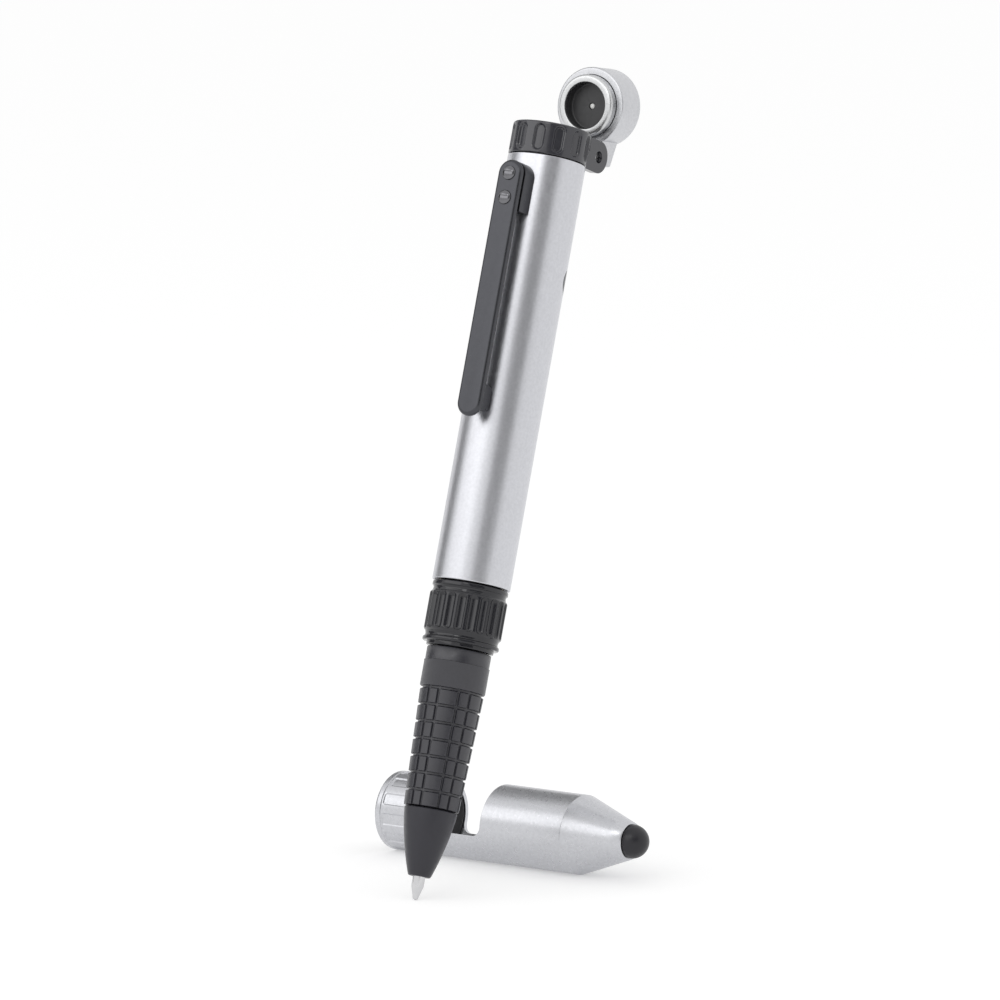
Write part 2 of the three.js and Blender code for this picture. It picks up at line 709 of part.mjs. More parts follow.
function switchBoard() {
  const box = new THREE.BoxGeometry(BOARD_WIDTH, BOARD_LENGTH, BOARD_THICKNESS);
  box.translate(0, 0, boardFace - BOARD_THICKNESS / 2);
  return outwards(box, BUTTON_ANGLE, buttonLevel);
}

// Carrier: a cup for the cells on a foot with a flat seat for the board
function batteryCarrier() {
  const radius = barrelBore - FIT_GAP;
  const body = solidOf(rod(radius, carrierBottom, carrierTop, ROUND_SIDES));
  const cells = solidOf(rod(cellPocket, carrierFloorBottom + CARRIER_FLOOR, carrierTop + CELL_HEIGHT, ROUND_SIDES));
  const seat = new THREE.BoxGeometry(4 * radius, CARRIER_FOOT_LENGTH + STACK_GAP, 2 * radius);
  seat.translate(0, 0, boardSeat + radius);
  const seatMiddle = carrierFloorBottom - (CARRIER_FOOT_LENGTH + STACK_GAP) / 2;
  const screwSpace = new THREE.BoxGeometry(2 * (SCREW_RADIUS + SCREW_SWING_GAP), SPACER_LENGTH, radius);
  screwSpace.translate(0, 0, barrelBore - SCREW_TIP_LENGTH - FIT_GAP + radius / 2);
  return geometryOf(cut(body, [
    cells,
    solidOf(outwards(seat, BUTTON_ANGLE, seatMiddle)),
    solidOf(outwards(screwSpace, 0, clipTop - SPACER_LENGTH / 2)),
  ]));
}

function batteryCell(index) {
  const bottom = cellsBottom + index * cellPitch;
  return rod(CELL_RADIUS, bottom, bottom + CELL_HEIGHT, ROUND_SIDES);
}

function batterySpring() {
  return tube(SPRING_RADIUS - SPRING_WALL, SPRING_RADIUS, springBottom, springTop, SMALL_SIDES);
}

// Top ring: slotted outside, socket on top for the closed lamp, threaded spigot below
function ringBody() {
  const spigot = barrelBore - FIT_GAP;
  const spigotBore = cellPocket + RING_SPIGOT_SPACE;
  const studHole = STUD_RADIUS + FIT_GAP;
  return solidOf(turnedRing([
    [spigotBore, ringSpigotBottom],
    [spigot, ringSpigotBottom],
    [spigot, ringBottom],
    [RING_RADIUS, ringBottom],
    [RING_RADIUS, ringTop - RING_CHAMFER],
    [RING_RADIUS - RING_CHAMFER, ringTop],
    [socketRadius + SOCKET_CHAMFER, ringTop],
    [socketRadius, ringTop - SOCKET_CHAMFER],
    [socketRadius, socketFloor],
    [studHole, socketFloor],
    [studHole, webBottom],
    [spigotBore, webBottom],
  ], ROUND_SIDES));
}

function ear(side) {
  const radius = RING_HEIGHT / 2;
  const shape = new THREE.Shape();
  shape.moveTo(EAR_ROOT, pivotLevel - radius);
  shape.lineTo(PIVOT_REACH, pivotLevel - radius);
  shape.absarc(PIVOT_REACH, pivotLevel, radius, -Math.PI / 2, Math.PI / 2, false);
  shape.lineTo(EAR_ROOT, pivotLevel + radius);
  const geometry = across(shape, EAR_THICKNESS);
  geometry.translate(side * (EAR_INNER + EAR_THICKNESS / 2), 0, 0);
  return solidOf(geometry);
}

// A round bar along the hinge axis
function hingeRod(radius, halfLength, sides) {
  const geometry = rod(radius, -halfLength, halfLength, sides);
  geometry.rotateY(Math.PI / 2);
  geometry.translate(0, PIVOT_REACH, pivotLevel);
  return geometry;
}

function topRing() {
  const slots = [];
  for (let i = 0; i < SLOT_COUNT; i += 1) {
    const angle = (i + 0.5) * 2 * Math.PI / SLOT_COUNT;
    if (Math.abs(angle - Math.PI) > SLOT_FREE_ZONE) {
      const floor = RING_RADIUS - SLOT_DEPTH;
      slots.push(slotTool(SLOT_WIDTH, SLOT_LENGTH, floor, 2 * SLOT_DEPTH, angle, pivotLevel));
    }
  }
  const ring = cut(ringBody(), slots);
  const whole = join([ring, ear(-1), ear(1)]);
  const earOuter = EAR_INNER + EAR_THICKNESS;
  const bezelPath = new THREE.BoxGeometry(2 * (earOuter + FIT_GAP), RELIEF_REACH, SOCKET_DEPTH);
  bezelPath.translate(0, RELIEF_REACH / 2, ringTop - SOCKET_DEPTH / 2 + FIT_GAP);
  const betweenEars = new THREE.BoxGeometry(2 * EAR_INNER, PIVOT_REACH, SOCKET_DEPTH);
  betweenEars.translate(0, PIVOT_REACH / 2, ringTop - SOCKET_DEPTH / 2 + FIT_GAP);
  const pinHole = hingeRod(PIN_RADIUS + FIT_GAP, 2 * earOuter, SMALL_SIDES);
  return geometryOf(cut(whole, [bezelPath, betweenEars, pinHole].map(solidOf)));
}

function hingePin() {
  return hingeRod(PIN_RADIUS, EAR_INNER + EAR_THICKNESS - PIN_RECESS, SMALL_SIDES);
}

function contactStud() {
  return rod(STUD_RADIUS, springTop - SPRING_WALL, socketFloor + FIT_GAP, PIN_SIDES);
}

// Pieces of the lamp are turned about the drum's axis, heights measured along +Y from the pen,
// with the lamp square to the pen, and then swung up about the hinge to where it stands
function alongDrum(geometry) {
  geometry.rotateX(-Math.PI / 2);
  geometry.translate(0, 0, drumLevel);
  return geometry;
}

function swungUp(geometry) {
  geometry.translate(0, -PIVOT_REACH, -pivotLevel);
  geometry.rotateX(HEAD_TILT);
  geometry.translate(0, PIVOT_REACH, pivotLevel);
  return geometry;
}

function lug() {
  const top = pivotLevel + RING_HEIGHT / 2 + LUG_SHOULDER;
  const noseTop = pivotLevel + LUG_NOSE_RADIUS;
  const shape = new THREE.Shape();
  shape.moveTo(drumFront, top);
  shape.lineTo(drumFront, noseTop);
  shape.lineTo(PIVOT_REACH, noseTop);
  shape.absarc(PIVOT_REACH, pivotLevel, LUG_NOSE_RADIUS, Math.PI / 2, 3 * Math.PI / 2, false);
  shape.lineTo(PIVOT_REACH + LUG_FOOT_REACH, ringTop - LUG_FOOT_DROP);
  shape.lineTo(drumBack - DRUM_CHAMFER, top);
  return solidOf(across(shape, LUG_WIDTH));
}

function headShell() {
  const floor = drumBack - DRUM_BACK;
  const drum = solidOf(alongDrum(turned([
    [0, drumFront],
    [DRUM_RADIUS - DRUM_CHAMFER, drumFront],
    [DRUM_RADIUS, drumFront + DRUM_CHAMFER],
    [DRUM_RADIUS, drumBack - DRUM_CHAMFER],
    [DRUM_RADIUS - DRUM_CHAMFER, drumBack],
    [0, drumBack],
  ], ROUND_SIDES)));
  const cavity = solidOf(alongDrum(rod(drumBore, drumFront - HEAD_GAP, floor, ROUND_SIDES)));
  const pinHole = solidOf(hingeRod(PIN_RADIUS + RUN_GAP, LUG_WIDTH, SMALL_SIDES));
  return geometryOf(cut(join([drum, lug()]), [cavity, pinHole]));
}

function headBezel() {
  const back = drumFront + BEZEL_SEATED;
  const cupBore = CUP_RADIUS + FIT_GAP;
  return alongDrum(turnedRing([
    [RECESS_RADIUS, bezelFront],
    [BEZEL_RADIUS - BEZEL_CHAMFER, bezelFront],
    [BEZEL_RADIUS, bezelFront + BEZEL_CHAMFER],
    [BEZEL_RADIUS, back],
    [cupBore, back],
    [cupBore, bezelFront + BEZEL_LIP],
    [RECESS_RADIUS, bezelFront + BEZEL_LIP],
  ], ROUND_SIDES));
}

function lampCup() {
  const lensHole = LENS_RADIUS + FIT_GAP;
  return alongDrum(turnedRing([
    [RECESS_RADIUS, cupFront],
    [CUP_RADIUS, cupFront],
    [CUP_RADIUS, cupFloorBack],
    [lensHole, cupFloorBack],
    [lensHole, cupFloorFront],
    [RECESS_RADIUS, cupFloorFront],
  ], ROUND_SIDES));
}

function led() {
  return alongDrum(turned([
    [0, cupFloorFront],
    [LENS_RADIUS, cupFloorFront + LENS_RADIUS / 2],
    [LENS_RADIUS, ledFront],
    [LED_RADIUS, ledFront],
    [LED_RADIUS, ledBack],
    [0, ledBack],
  ], SMALL_SIDES));
}

function ledBoard() {
  const front = ledBack + FIT_GAP;
  return alongDrum(rod(drumBore - FIT_GAP, front, front + LED_BOARD_THICKNESS, ROUND_SIDES));
}

// Cap, built upright from its mouth; its phone slot opens to -X
function capConeBore(height) {
  const t = (height - capShoulder) / CAP_CONE_LENGTH;
  return THREE.MathUtils.lerp(CAP_RADIUS, CAP_CONE_END_RADIUS, t) - CAP_WALL;
}

function phoneSlot() {
  const reach = 2 * CAP_RADIUS;
  const radius = PHONE_SLOT_ROUNDING;
  const shape = new THREE.Shape();
  shape.moveTo(CAP_RING_LENGTH + radius, PHONE_SLOT_FLOOR);
  shape.lineTo(phoneSlotEnd - radius, PHONE_SLOT_FLOOR);
  shape.absarc(phoneSlotEnd - radius, PHONE_SLOT_FLOOR + radius, radius, -Math.PI / 2, 0, false);
  shape.lineTo(phoneSlotEnd, reach);
  shape.lineTo(CAP_RING_LENGTH, reach);
  shape.lineTo(CAP_RING_LENGTH, PHONE_SLOT_FLOOR + radius);
  shape.absarc(CAP_RING_LENGTH + radius, PHONE_SLOT_FLOOR + radius, radius, Math.PI, 1.5 * Math.PI, false);
  const geometry = new THREE.ExtrudeGeometry(shape, {
    depth: 2 * reach,
    bevelEnabled: false,
    curveSegments: ARC_STEPS,
  });
  geometry.translate(0, 0, -reach);
  geometry.rotateZ(Math.PI / 2);
  geometry.rotateX(Math.PI / 2);
  return solidOf(geometry);
}

function capShell() {
  const pocket = STYLUS_STEM_RADIUS + FIT_GAP;
  const coreHole = STYLUS_CORE_RADIUS + FIT_GAP;
  const body = solidOf(turnedRing([
    [capBore, 0],
    [CAP_RADIUS - CAP_EDGE_CHAMFER, 0],
    [CAP_RADIUS, CAP_EDGE_CHAMFER],
    [CAP_RADIUS, capShoulder],
    [CAP_CONE_END_RADIUS, capEnd],
    [pocket, capEnd],
    [pocket, stemPocketBottom],
    [coreHole, stemPocketBottom],
    [coreHole, cavityEnd],
    [capConeBore(cavityEnd), cavityEnd],
    [capBore, capShoulder],
  ], ROUND_SIDES));
  const slots = [];
  for (let i = 0; i < SLOT_COUNT; i += 1) {
    const angle = (i + 0.5) * 2 * Math.PI / SLOT_COUNT;
    const floor = CAP_RADIUS - CAP_SLOT_DEPTH;
    const middle = CAP_RING_LENGTH / 2;
    slots.push(slotTool(CAP_SLOT_WIDTH, CAP_SLOT_LENGTH, floor, 2 * CAP_SLOT_DEPTH, angle, middle));
  }
  return geometryOf(cut(body, [phoneSlot(), ...slots]));
}

function capLiner() {
  const bore = linerRadius - LINER_WALL;
  return tube(bore, linerRadius, LINER_INSET, CAP_RING_LENGTH - LINER_INSET / 2, ROUND_SIDES);
}

function stylusCore() {
  const flangeTop = cavityEnd - FIT_GAP;
  const tip = capEnd + STYLUS_CORE_REACH;
  return turned([
    [0, flangeTop - STYLUS_FLANGE_THICKNESS],
    [STYLUS_FLANGE_RADIUS, flangeTop - STYLUS_FLANGE_THICKNESS],
    [STYLUS_FLANGE_RADIUS, flangeTop],
    [STYLUS_CORE_RADIUS, flangeTop],
    [STYLUS_CORE_RADIUS, tip],
    [0, tip],
  ], SMALL_SIDES);
}

function stylusDome() {
  const bore = STYLUS_CORE_RADIUS + FIT_GAP;
  const boreEnd = capEnd + STYLUS_CORE_REACH + FIT_GAP;
  const stemBottom = capEnd - STYLUS_STEM_LENGTH;
  const domeBottom = capEnd + SEAT_GAP;
  const outline = [
    [0, boreEnd],
    [bore, boreEnd],
    [bore, stemBottom],
    [STYLUS_STEM_RADIUS, stemBottom],
    [STYLUS_STEM_RADIUS, domeBottom],
  ];
  const steps = 2 * DOME_STEPS;
  for (let i = 0; i < steps; i += 1) {
    const angle = i / steps * Math.PI / 2;
    outline.push([STYLUS_RADIUS * Math.cos(angle), domeBottom + STYLUS_RADIUS * Math.sin(angle)]);
  }
  outline.push([0, domeBottom + STYLUS_RADIUS]);
  return turned(outline, 1.5 * SMALL_SIDES);
}

// Assembly
function place(group, name, geometry, material) {
  const mesh = new THREE.Mesh(geometryOf(solidOf(geometry)), material);
  mesh.name = name;
  group.add(mesh);
}

const pen = new THREE.Group();
pen.rotation.set(-LEAN_BACK, -LEAN_SIDE, PEN_SPIN, 'XYZ');
pen.position.set(0, 0, -gripMiddle).applyEuler(pen.rotation);

place(pen, 'writing_ball', writingBall(), steel);
place(pen, 'refill_tip', refillTip(), steel);
place(pen, 'refill_tube', refillTube(), clearPlastic);
place(pen, 'refill_plug', refillPlug(), innerPlastic);
place(pen, 'nose_cone', noseCone(), gripBlack);
place(pen, 'grip_sleeve', gripSleeve(), gripBlack);
place(pen, 'grip_core', gripCore(), innerPlastic);
place(pen, 'collar', collar(), glossBlack);
place(pen, 'barrel_insert', barrelInsert(), brass);
place(pen, 'barrel', barrel(), satinSilver);
place(pen, 'clip_spacer', clipSpacer(), darkMetal);
place(pen, 'clip', clip(), darkMetal);
place(pen, 'clip_screw_upper', clipScrew(SCREW_PLACES[0]), darkMetal);
place(pen, 'clip_screw_lower', clipScrew(SCREW_PLACES[1]), darkMetal);
place(pen, 'lamp_button', lampButton(), satinBlack);
place(pen, 'tact_switch', tactSwitch(), steel);
place(pen, 'switch_board', switchBoard(), boardGreen);
place(pen, 'battery_carrier', batteryCarrier(), innerPlastic);
for (let i = 0; i < CELL_COUNT; i += 1) {
  place(pen, `battery_cell_${i + 1}`, batteryCell(i), steel);
}
place(pen, 'battery_spring', batterySpring(), steel);
place(pen, 'top_ring', topRing(), satinBlack);
place(pen, 'hinge_pin', hingePin(), steel);
place(pen, 'contact_stud', contactStud(), brass);
place(pen, 'head_shell', swungUp(headShell()), satinSilver);
place(pen, 'head_bezel', swungUp(headBezel()), brushedSilver);
place(pen, 'lamp_cup', swungUp(lampCup()), satinBlack);
place(pen, 'led', swungUp(led()), lensWhite);
place(pen, 'led_board', swungUp(ledBoard()), boardGreen);

const leanedAxis = new THREE.Vector3(0, 0, 1).applyEuler(pen.rotation);
const surfaceLevel = leanedAxis.z * (BALL_RADIUS - gripMiddle) - BALL_RADIUS;

const cap = new THREE.Group();
cap.rotation.set(-CAP_ROLL, Math.PI / 2, 0);
cap.position.set(CAP_MOUTH_X, CAP_AXIS_Y, surfaceLevel + CAP_RADIUS);

place(cap, 'cap_shell', capShell(), brushedSilver);
place(cap, 'cap_liner', capLiner(), satinBlack);
place(cap, 'stylus_core', stylusCore(), innerPlastic);
place(cap, 'stylus_dome', stylusDome(), rubberBlack);

const part = new THREE.Group();
part.add(pen, cap);

export default part;
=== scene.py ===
"""Looks for the multifunction pen: fine meshes, materials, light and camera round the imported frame.

Sizes are millimetres. The pen is drawn upright from its ball upwards, with the clip towards -Y
and the lamp's hinge towards +Y, and the cap is drawn upright from its mouth. Matrices taken from
the frame's joints then lay them where the frame has them.
"""

import json
import math

import bpy
import numpy as np
from mathutils import Matrix, Vector


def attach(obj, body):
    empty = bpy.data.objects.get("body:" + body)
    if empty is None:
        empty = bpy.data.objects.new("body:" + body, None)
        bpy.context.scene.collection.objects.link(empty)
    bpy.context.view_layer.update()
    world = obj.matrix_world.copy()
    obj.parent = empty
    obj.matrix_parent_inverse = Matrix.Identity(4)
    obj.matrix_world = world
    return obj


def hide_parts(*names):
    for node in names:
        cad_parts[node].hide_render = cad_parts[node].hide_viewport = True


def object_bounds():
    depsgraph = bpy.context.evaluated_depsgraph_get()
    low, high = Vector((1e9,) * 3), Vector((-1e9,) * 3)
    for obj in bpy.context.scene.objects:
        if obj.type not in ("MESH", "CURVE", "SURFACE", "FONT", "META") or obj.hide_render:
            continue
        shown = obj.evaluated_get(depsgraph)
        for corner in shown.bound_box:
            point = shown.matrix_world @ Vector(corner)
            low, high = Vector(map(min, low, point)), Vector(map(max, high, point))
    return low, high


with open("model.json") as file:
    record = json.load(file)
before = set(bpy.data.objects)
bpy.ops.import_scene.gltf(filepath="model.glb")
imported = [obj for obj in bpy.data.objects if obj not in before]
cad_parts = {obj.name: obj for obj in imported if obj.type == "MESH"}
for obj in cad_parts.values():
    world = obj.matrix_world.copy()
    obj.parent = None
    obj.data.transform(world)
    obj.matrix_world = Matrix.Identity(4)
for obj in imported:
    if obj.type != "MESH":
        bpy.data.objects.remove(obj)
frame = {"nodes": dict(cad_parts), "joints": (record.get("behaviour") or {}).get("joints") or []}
CAD_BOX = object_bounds()
JOINTS = {joint["name"]: joint for joint in frame["joints"]}
MM = 0.001

# Camera and studio
CAMERA_TARGET = (11.24, 1.14, 42.08)
CAMERA_AZIMUTH = math.radians(38.2)
CAMERA_DOWN = math.radians(7.65)
CAMERA_DISTANCE = 1298.5
CAMERA_LENS = 288
CAMERA_SENSOR = 36
CAMERA_NEAR = 0.05
CAMERA_FAR = 20
FLOOR_SIZE = 12000
FLOOR_SHADE = 0.9
FLOOR_GLOW = 2.2
FLOOR_GLOW_SHARE = 0.15
WORLD_LIGHT = 0.85

# Lamps and grey cards round the object: azimuth and elevation in degrees, as seen from the camera,
# then distance, width and height in metres, and last the lamp's power or the card's shade
LAMPS = {
    "key": (-62, 32, 0.9, 1.0, 0.5, 1.35),
    "top": (-15, 42, 0.9, 0.2, 0.2, 0.45),
}
CARDS = {
    "card_back": (-161, 32, 0.6, 0.45, 0.4, 0.35),
    "card_left": (-118, 6, 0.6, 0.3, 0.4, 0.25),
    "card_front": (22, 22, 0.6, 0.5, 0.45, 0.35),
}

# Clearances, as in the solids
STACK_GAP = 0.2
FIT_GAP = 0.1
SEAT_GAP = 0.15
BALL_GAP = 0.03

# Steps of the fine meshes
WIDE_STEPS = 192
TURN_STEPS = 144
MIDDLE_STEPS = 96
SMALL_STEPS = 64
PIN_STEPS = 48
HOLE_STEPS = 24
ROUND_STEPS = 6
SLOT_STEPS = 22
SLOT_LAND_STEPS = 5
SLOT_MARGIN = 0.1
DETAIL_STEP = 0.12
LEVEL_GAP = 0.02
NEAR_AXIS = 0.01

# Ball, tip and refill
BALL_RADIUS = 0.35
BALL_SHOWS = 0.15
MOUTH_WALL = 0.1
TIP_RADIUS = 1.05
TIP_TAPER_LENGTH = 2.1
TIP_EXPOSED = 3.86
TIP_EDGE_DEPTH = 0.05
TIP_EDGE_REACH = 0.08
TIP_SHOULDER_LENGTH = 1.3
TIP_SHANK_LENGTH = 3
INK_RADIUS = 0.2
REFILL_RADIUS = 1.5
REFILL_WALL = 0.35
REFILL_TOP = 88

# Nose cone
CONE_LENGTH = 11.1
CONE_END_RADIUS = 1.85
CONE_END_ROUNDING = 0.28
CONE_END_CLEAR = 1.6
CONE_TOP_RADIUS = 4.42
CONE_TOP_ROUNDING = 0.15
CONE_BULGE = 0.344
CONE_RINGS = 28
NOSE_SHELF_LENGTH = 1.6
NOSE_SOCKET_LENGTH = 4

# Grip
PAD_ROWS = 7
PAD_PITCH = 2.815
PAD_GROOVE_WIDTH = 0.45
PAD_GROOVE_DEPTH = 0.4
PAD_EDGE = 0.16
PAD_STEPS = 7
PAD_GROOVE_STEPS = 10
PAD_ROW_SLACK = 0.0001
PAD_COLUMN_PAIRS = 6
NARROW_COLUMN = math.radians(22)
COLUMN_PHASE = math.radians(-3)
GRIP_LOW_RADIUS = 4.56
GRIP_HIGH_RADIUS = 5.3
GRIP_BAND_RADIUS = 5.43
GRIP_BAND_LENGTH = 4.3
GRIP_CUFF_RADIUS = 5.33
GRIP_CUFF_LENGTH = 2.3
BAND_CHAMFER = 0.12
CUFF_CHAMFER = 0.1
PARTING_RIDGE = 0.05
PARTING_RIDGE_WIDTH = 0.06
CORE_RADIUS = 3.4
CORE_BORE = 1.75
CORE_SPIGOT_RADIUS = 2.6
CORE_TOP_LENGTH = 4.4

# Collar
COLLAR_SEAT_RADIUS = 5.6
COLLAR_SEAT_LENGTH = 0.65
COLLAR_SEAT_ROUNDING = 0.2
LOWER_LIP_RADIUS = 6.38
LOWER_LIP_LENGTH = 0.75
WAIST_RADIUS = 6.12
WAIST_LENGTH = 1.15
FLUTED_RADIUS = 6.48
FLUTED_LENGTH = 6.2
UPPER_LIP_RADIUS = 6.3
UPPER_LIP_LENGTH = 0.75
LIP_ROUNDING = 0.32
WAIST_HOLLOW = 0.08
WAIST_INSET = 0.1
WAIST_RINGS = 7
FLUTED_OVERRUN = 0.3
FLUTED_EDGE_LENGTH = 0.55
FLUTE_COUNT = 22
FLUTE_WIDTH = 1.4
FLUTE_LENGTH = 6.2
FLUTE_DEPTH = 0.4
FLUTE_MARGIN = 0.06
FLUTE_STEPS = 20
FLUTE_LAND_STEPS = 4
COLLAR_SPIGOT_LENGTH = 8

# Barrel
BARREL_RADIUS = 6.5
BARREL_WALL = 0.9
INSERT_WALL = 0.4
BARREL_LENGTH = 71.55
BARREL_ROUNDING = 0.15

# Clip
CLIP_WIDTH = 4.5
CLIP_LENGTH = 43
CLIP_THICKNESS = 1.4
CLIP_ROUNDING = 0.6
CLIP_BELOW_TOP = 2.1
SPACER_HEIGHT = 2.6
SPACER_LENGTH = 8.3
SPACER_ROUNDING = 0.12
BUMP_LENGTH = 4.6
BUMP_WIDTH = 3.6
BUMP_CLEARANCE = 0.4
BUMP_ROUNDING = 0.6
BUMP_TAPER = 0.6
SCREW_HEAD_RADIUS = 1.2
SCREW_HEAD_HEIGHT = 0.55
SCREW_RADIUS = 0.5
SCREW_TIP_LENGTH = 0.9
SCREW_PLACES = {"clip_screw_upper": 2.3, "clip_screw_lower": 6.4}
SCREW_SWING_GAP = 0.3
DRIVER_SLOT_LENGTH = 1.7
DRIVER_SLOT_WIDTH = 0.5
DRIVER_SLOT_DEPTH = 0.33

# Push button
BUTTON_ANGLE = math.radians(124)
BUTTON_BELOW_TOP = 19.5
BUTTON_RADIUS = 2.1
BUTTON_FLANGE = 0.6
BUTTON_FLANGE_THICKNESS = 0.45
BUTTON_ROUNDING = 0.25

# Top ring and hinge
RING_RADIUS = 6.53
RING_HEIGHT = 5.35
RING_ROUNDING = 0.35
RING_CHAMFER = 0.08
RING_WEB = 0.9
RING_SPIGOT_LENGTH = 4
RING_SPIGOT_SPACE = 0.5
CELL_RADIUS = 3.95
SOCKET_DEPTH = 2.4
SOCKET_GAP = 0.25
SOCKET_CHAMFER = 0.4
SLOT_COUNT = 12
SLOT_WIDTH = 2
SLOT_LENGTH = 4.6
SLOT_DEPTH = 0.45
SLOT_EDGE = 0.16
SLOT_SLOPE = 0.36
SLOT_FREE_ZONE = math.radians(46)
EAR_INNER = 3.15
EAR_THICKNESS = 1.35
EAR_ROOT = 4.5
PIVOT_REACH = 8.45
PIN_RADIUS = 0.9
PIN_RECESS = 0.6
PIN_ROUNDING = 0.15
LUG_PIN_GAP = 0.08
RELIEF_REACH = 5.35
STUD_RADIUS = 0.75
STUD_ROUNDING = 0.1
SPRING_WALL = 0.7

# Lamp head
HEAD_TILT = math.radians(10.1)
HEAD_GAP = 0.35
DRUM_RADIUS = 6.5
DRUM_DEPTH = 5.65
DRUM_BACK = 0.9
DRUM_ROUNDING = 0.4
LUG_WIDTH = 6
LUG_NOSE_RADIUS = 1.65
LUG_FOOT_REACH = 6.15
LUG_FOOT_DROP = 4.125
LUG_SHOULDER = 1
LUG_ROUNDING = 0.2
BEZEL_RADIUS = 5.2
BEZEL_PROUD = 1.65
BEZEL_SEATED = 3
BEZEL_ROUNDING = 0.6
BEZEL_LIP = 0.5
BEZEL_LIP_ROUNDING = 0.15
RECESS_RADIUS = 3.95
RECESS_DEPTH = 2.3
CUP_RADIUS = 4.4
CUP_FLOOR = 0.6
CUP_ROUNDING = 0.3
LENS_RADIUS = 0.45
LED_RADIUS = 1.5
LED_LENGTH = 2

# Cap
CAP_ROLL = math.radians(11)
CAP_RADIUS = 6.7
CAP_WALL = 0.68
CAP_RING_LENGTH = 9.7
PHONE_SLOT_LENGTH = 13
PHONE_SLOT_FLOOR = -2.53
PHONE_SLOT_ROUNDING = 1.8
CAP_BODY_LENGTH = 16.8
CAP_CONE_LENGTH = 10
CAP_CONE_END_RADIUS = 3.1
CAP_ROUNDING = 0.5
CAP_SHOULDER_ROUNDING = 0.06
CAP_END_CHAMFER_DEPTH = 0.1
CAP_END_CHAMFER_LENGTH = 0.15
CAP_SLOT_LENGTH = 6.4
CAP_SLOT_WIDTH = 2.1
CAP_SLOT_DEPTH = 0.2
CAP_SLOT_CORNER = 0.35
CAP_SLOTTED_INSET = 0.3
RIM_LENGTH = 1.3
RIM_GROOVE_WIDTH = 0.12
RIM_GROOVE_DEPTH = 0.12
LINER_WALL = 0.34
LINER_INSET = 0.5
STYLUS_RADIUS = 2.85
STYLUS_STEM_RADIUS = 2.2
STYLUS_STEM_LENGTH = 2.8
STYLUS_CORE_RADIUS = 1.1
STYLUS_CORE_REACH = 0.9
STYLUS_FLANGE_THICKNESS = 1

# Levels of the pen, from the ball upwards
cone_bottom = TIP_EXPOSED
cone_top = cone_bottom + CONE_LENGTH
nose_shelf = cone_bottom + NOSE_SHELF_LENGTH
sleeve_bottom = cone_top + STACK_GAP
pads_top = sleeve_bottom + PAD_ROWS * PAD_PITCH
parting_line = pads_top + GRIP_BAND_LENGTH
sleeve_top = parting_line + GRIP_CUFF_LENGTH
collar_bottom = sleeve_top + STACK_GAP
lower_lip = collar_bottom + COLLAR_SEAT_LENGTH
lower_waist = lower_lip + LOWER_LIP_LENGTH
fluted_bottom = lower_waist + WAIST_LENGTH
fluted_top = fluted_bottom + FLUTED_LENGTH
upper_lip = fluted_top + WAIST_LENGTH
collar_top = upper_lip + UPPER_LIP_LENGTH
spigot_top = collar_top + COLLAR_SPIGOT_LENGTH
barrel_bottom = collar_top + STACK_GAP
barrel_top = barrel_bottom + BARREL_LENGTH
ring_bottom = barrel_top + STACK_GAP
ring_top = ring_bottom + RING_HEIGHT
socket_floor = ring_top - SOCKET_DEPTH
web_bottom = socket_floor - RING_WEB
clip_top = barrel_top - CLIP_BELOW_TOP
clip_bottom = clip_top - CLIP_LENGTH
button_level = barrel_top - BUTTON_BELOW_TOP
pivot_level = ring_top - RING_HEIGHT / 2

# Distances from the pen's axis
barrel_bore = BARREL_RADIUS - BARREL_WALL
insert_bore = barrel_bore - FIT_GAP - INSERT_WALL
collar_spigot_radius = insert_bore - FIT_GAP
clip_inner_face = BARREL_RADIUS + SPACER_HEIGHT + FIT_GAP
clip_outer_face = clip_inner_face + CLIP_THICKNESS
drum_front = PIVOT_REACH + RING_HEIGHT / 2 + HEAD_GAP
drum_back = drum_front + DRUM_DEPTH
drum_level = pivot_level + PIVOT_REACH
drum_bore = BEZEL_RADIUS + FIT_GAP
bezel_front = drum_front - BEZEL_PROUD
cup_floor_front = bezel_front + RECESS_DEPTH
cup_floor_back = cup_floor_front + CUP_FLOOR

# Places along the cap, from its mouth
phone_slot_end = CAP_RING_LENGTH + PHONE_SLOT_LENGTH
cap_shoulder = phone_slot_end + CAP_BODY_LENGTH
cap_end = cap_shoulder + CAP_CONE_LENGTH
cap_bore = CAP_RADIUS - CAP_WALL
cap_slope = (CAP_RADIUS - CAP_CONE_END_RADIUS) / CAP_CONE_LENGTH


def pen_matrix():
    """From upright pen drawing, in metres, to the frame."""
    up = Vector(JOINTS["barrel_off"]["axis"])
    side = Vector(JOINTS["head_flip"]["axis"])
    back = up.cross(side)
    foot = Vector(JOINTS["barrel_off"]["pos_m"]) - up * barrel_bottom * MM
    turn = Matrix((side, back, up)).transposed()
    return Matrix.Translation(foot) @ turn.to_4x4()


def cap_matrix():
    """From upright cap drawing, in metres, to the frame."""
    mouth = Vector(JOINTS["cap_slide"]["pos_m"])
    lay = Matrix.Rotation(-CAP_ROLL, 4, "X") @ Matrix.Rotation(math.pi / 2, 4, "Y")
    return Matrix.Translation(mouth) @ lay


def head_matrix():
    """From the lamp drawn square to the upright pen to the frame."""
    pivot = Vector((0, PIVOT_REACH, pivot_level)) * MM
    swing = Matrix.Rotation(HEAD_TILT, 4, "X")
    return PEN @ Matrix.Translation(pivot) @ swing @ Matrix.Translation(-pivot)


PEN = pen_matrix()
CAP = cap_matrix()
HEAD = head_matrix()


# Mesh tools

# Directions from a corner of an outline of (radius, height)
IN = (-1, 0)
OUT = (1, 0)
UP = (0, 1)
DOWN = (0, -1)


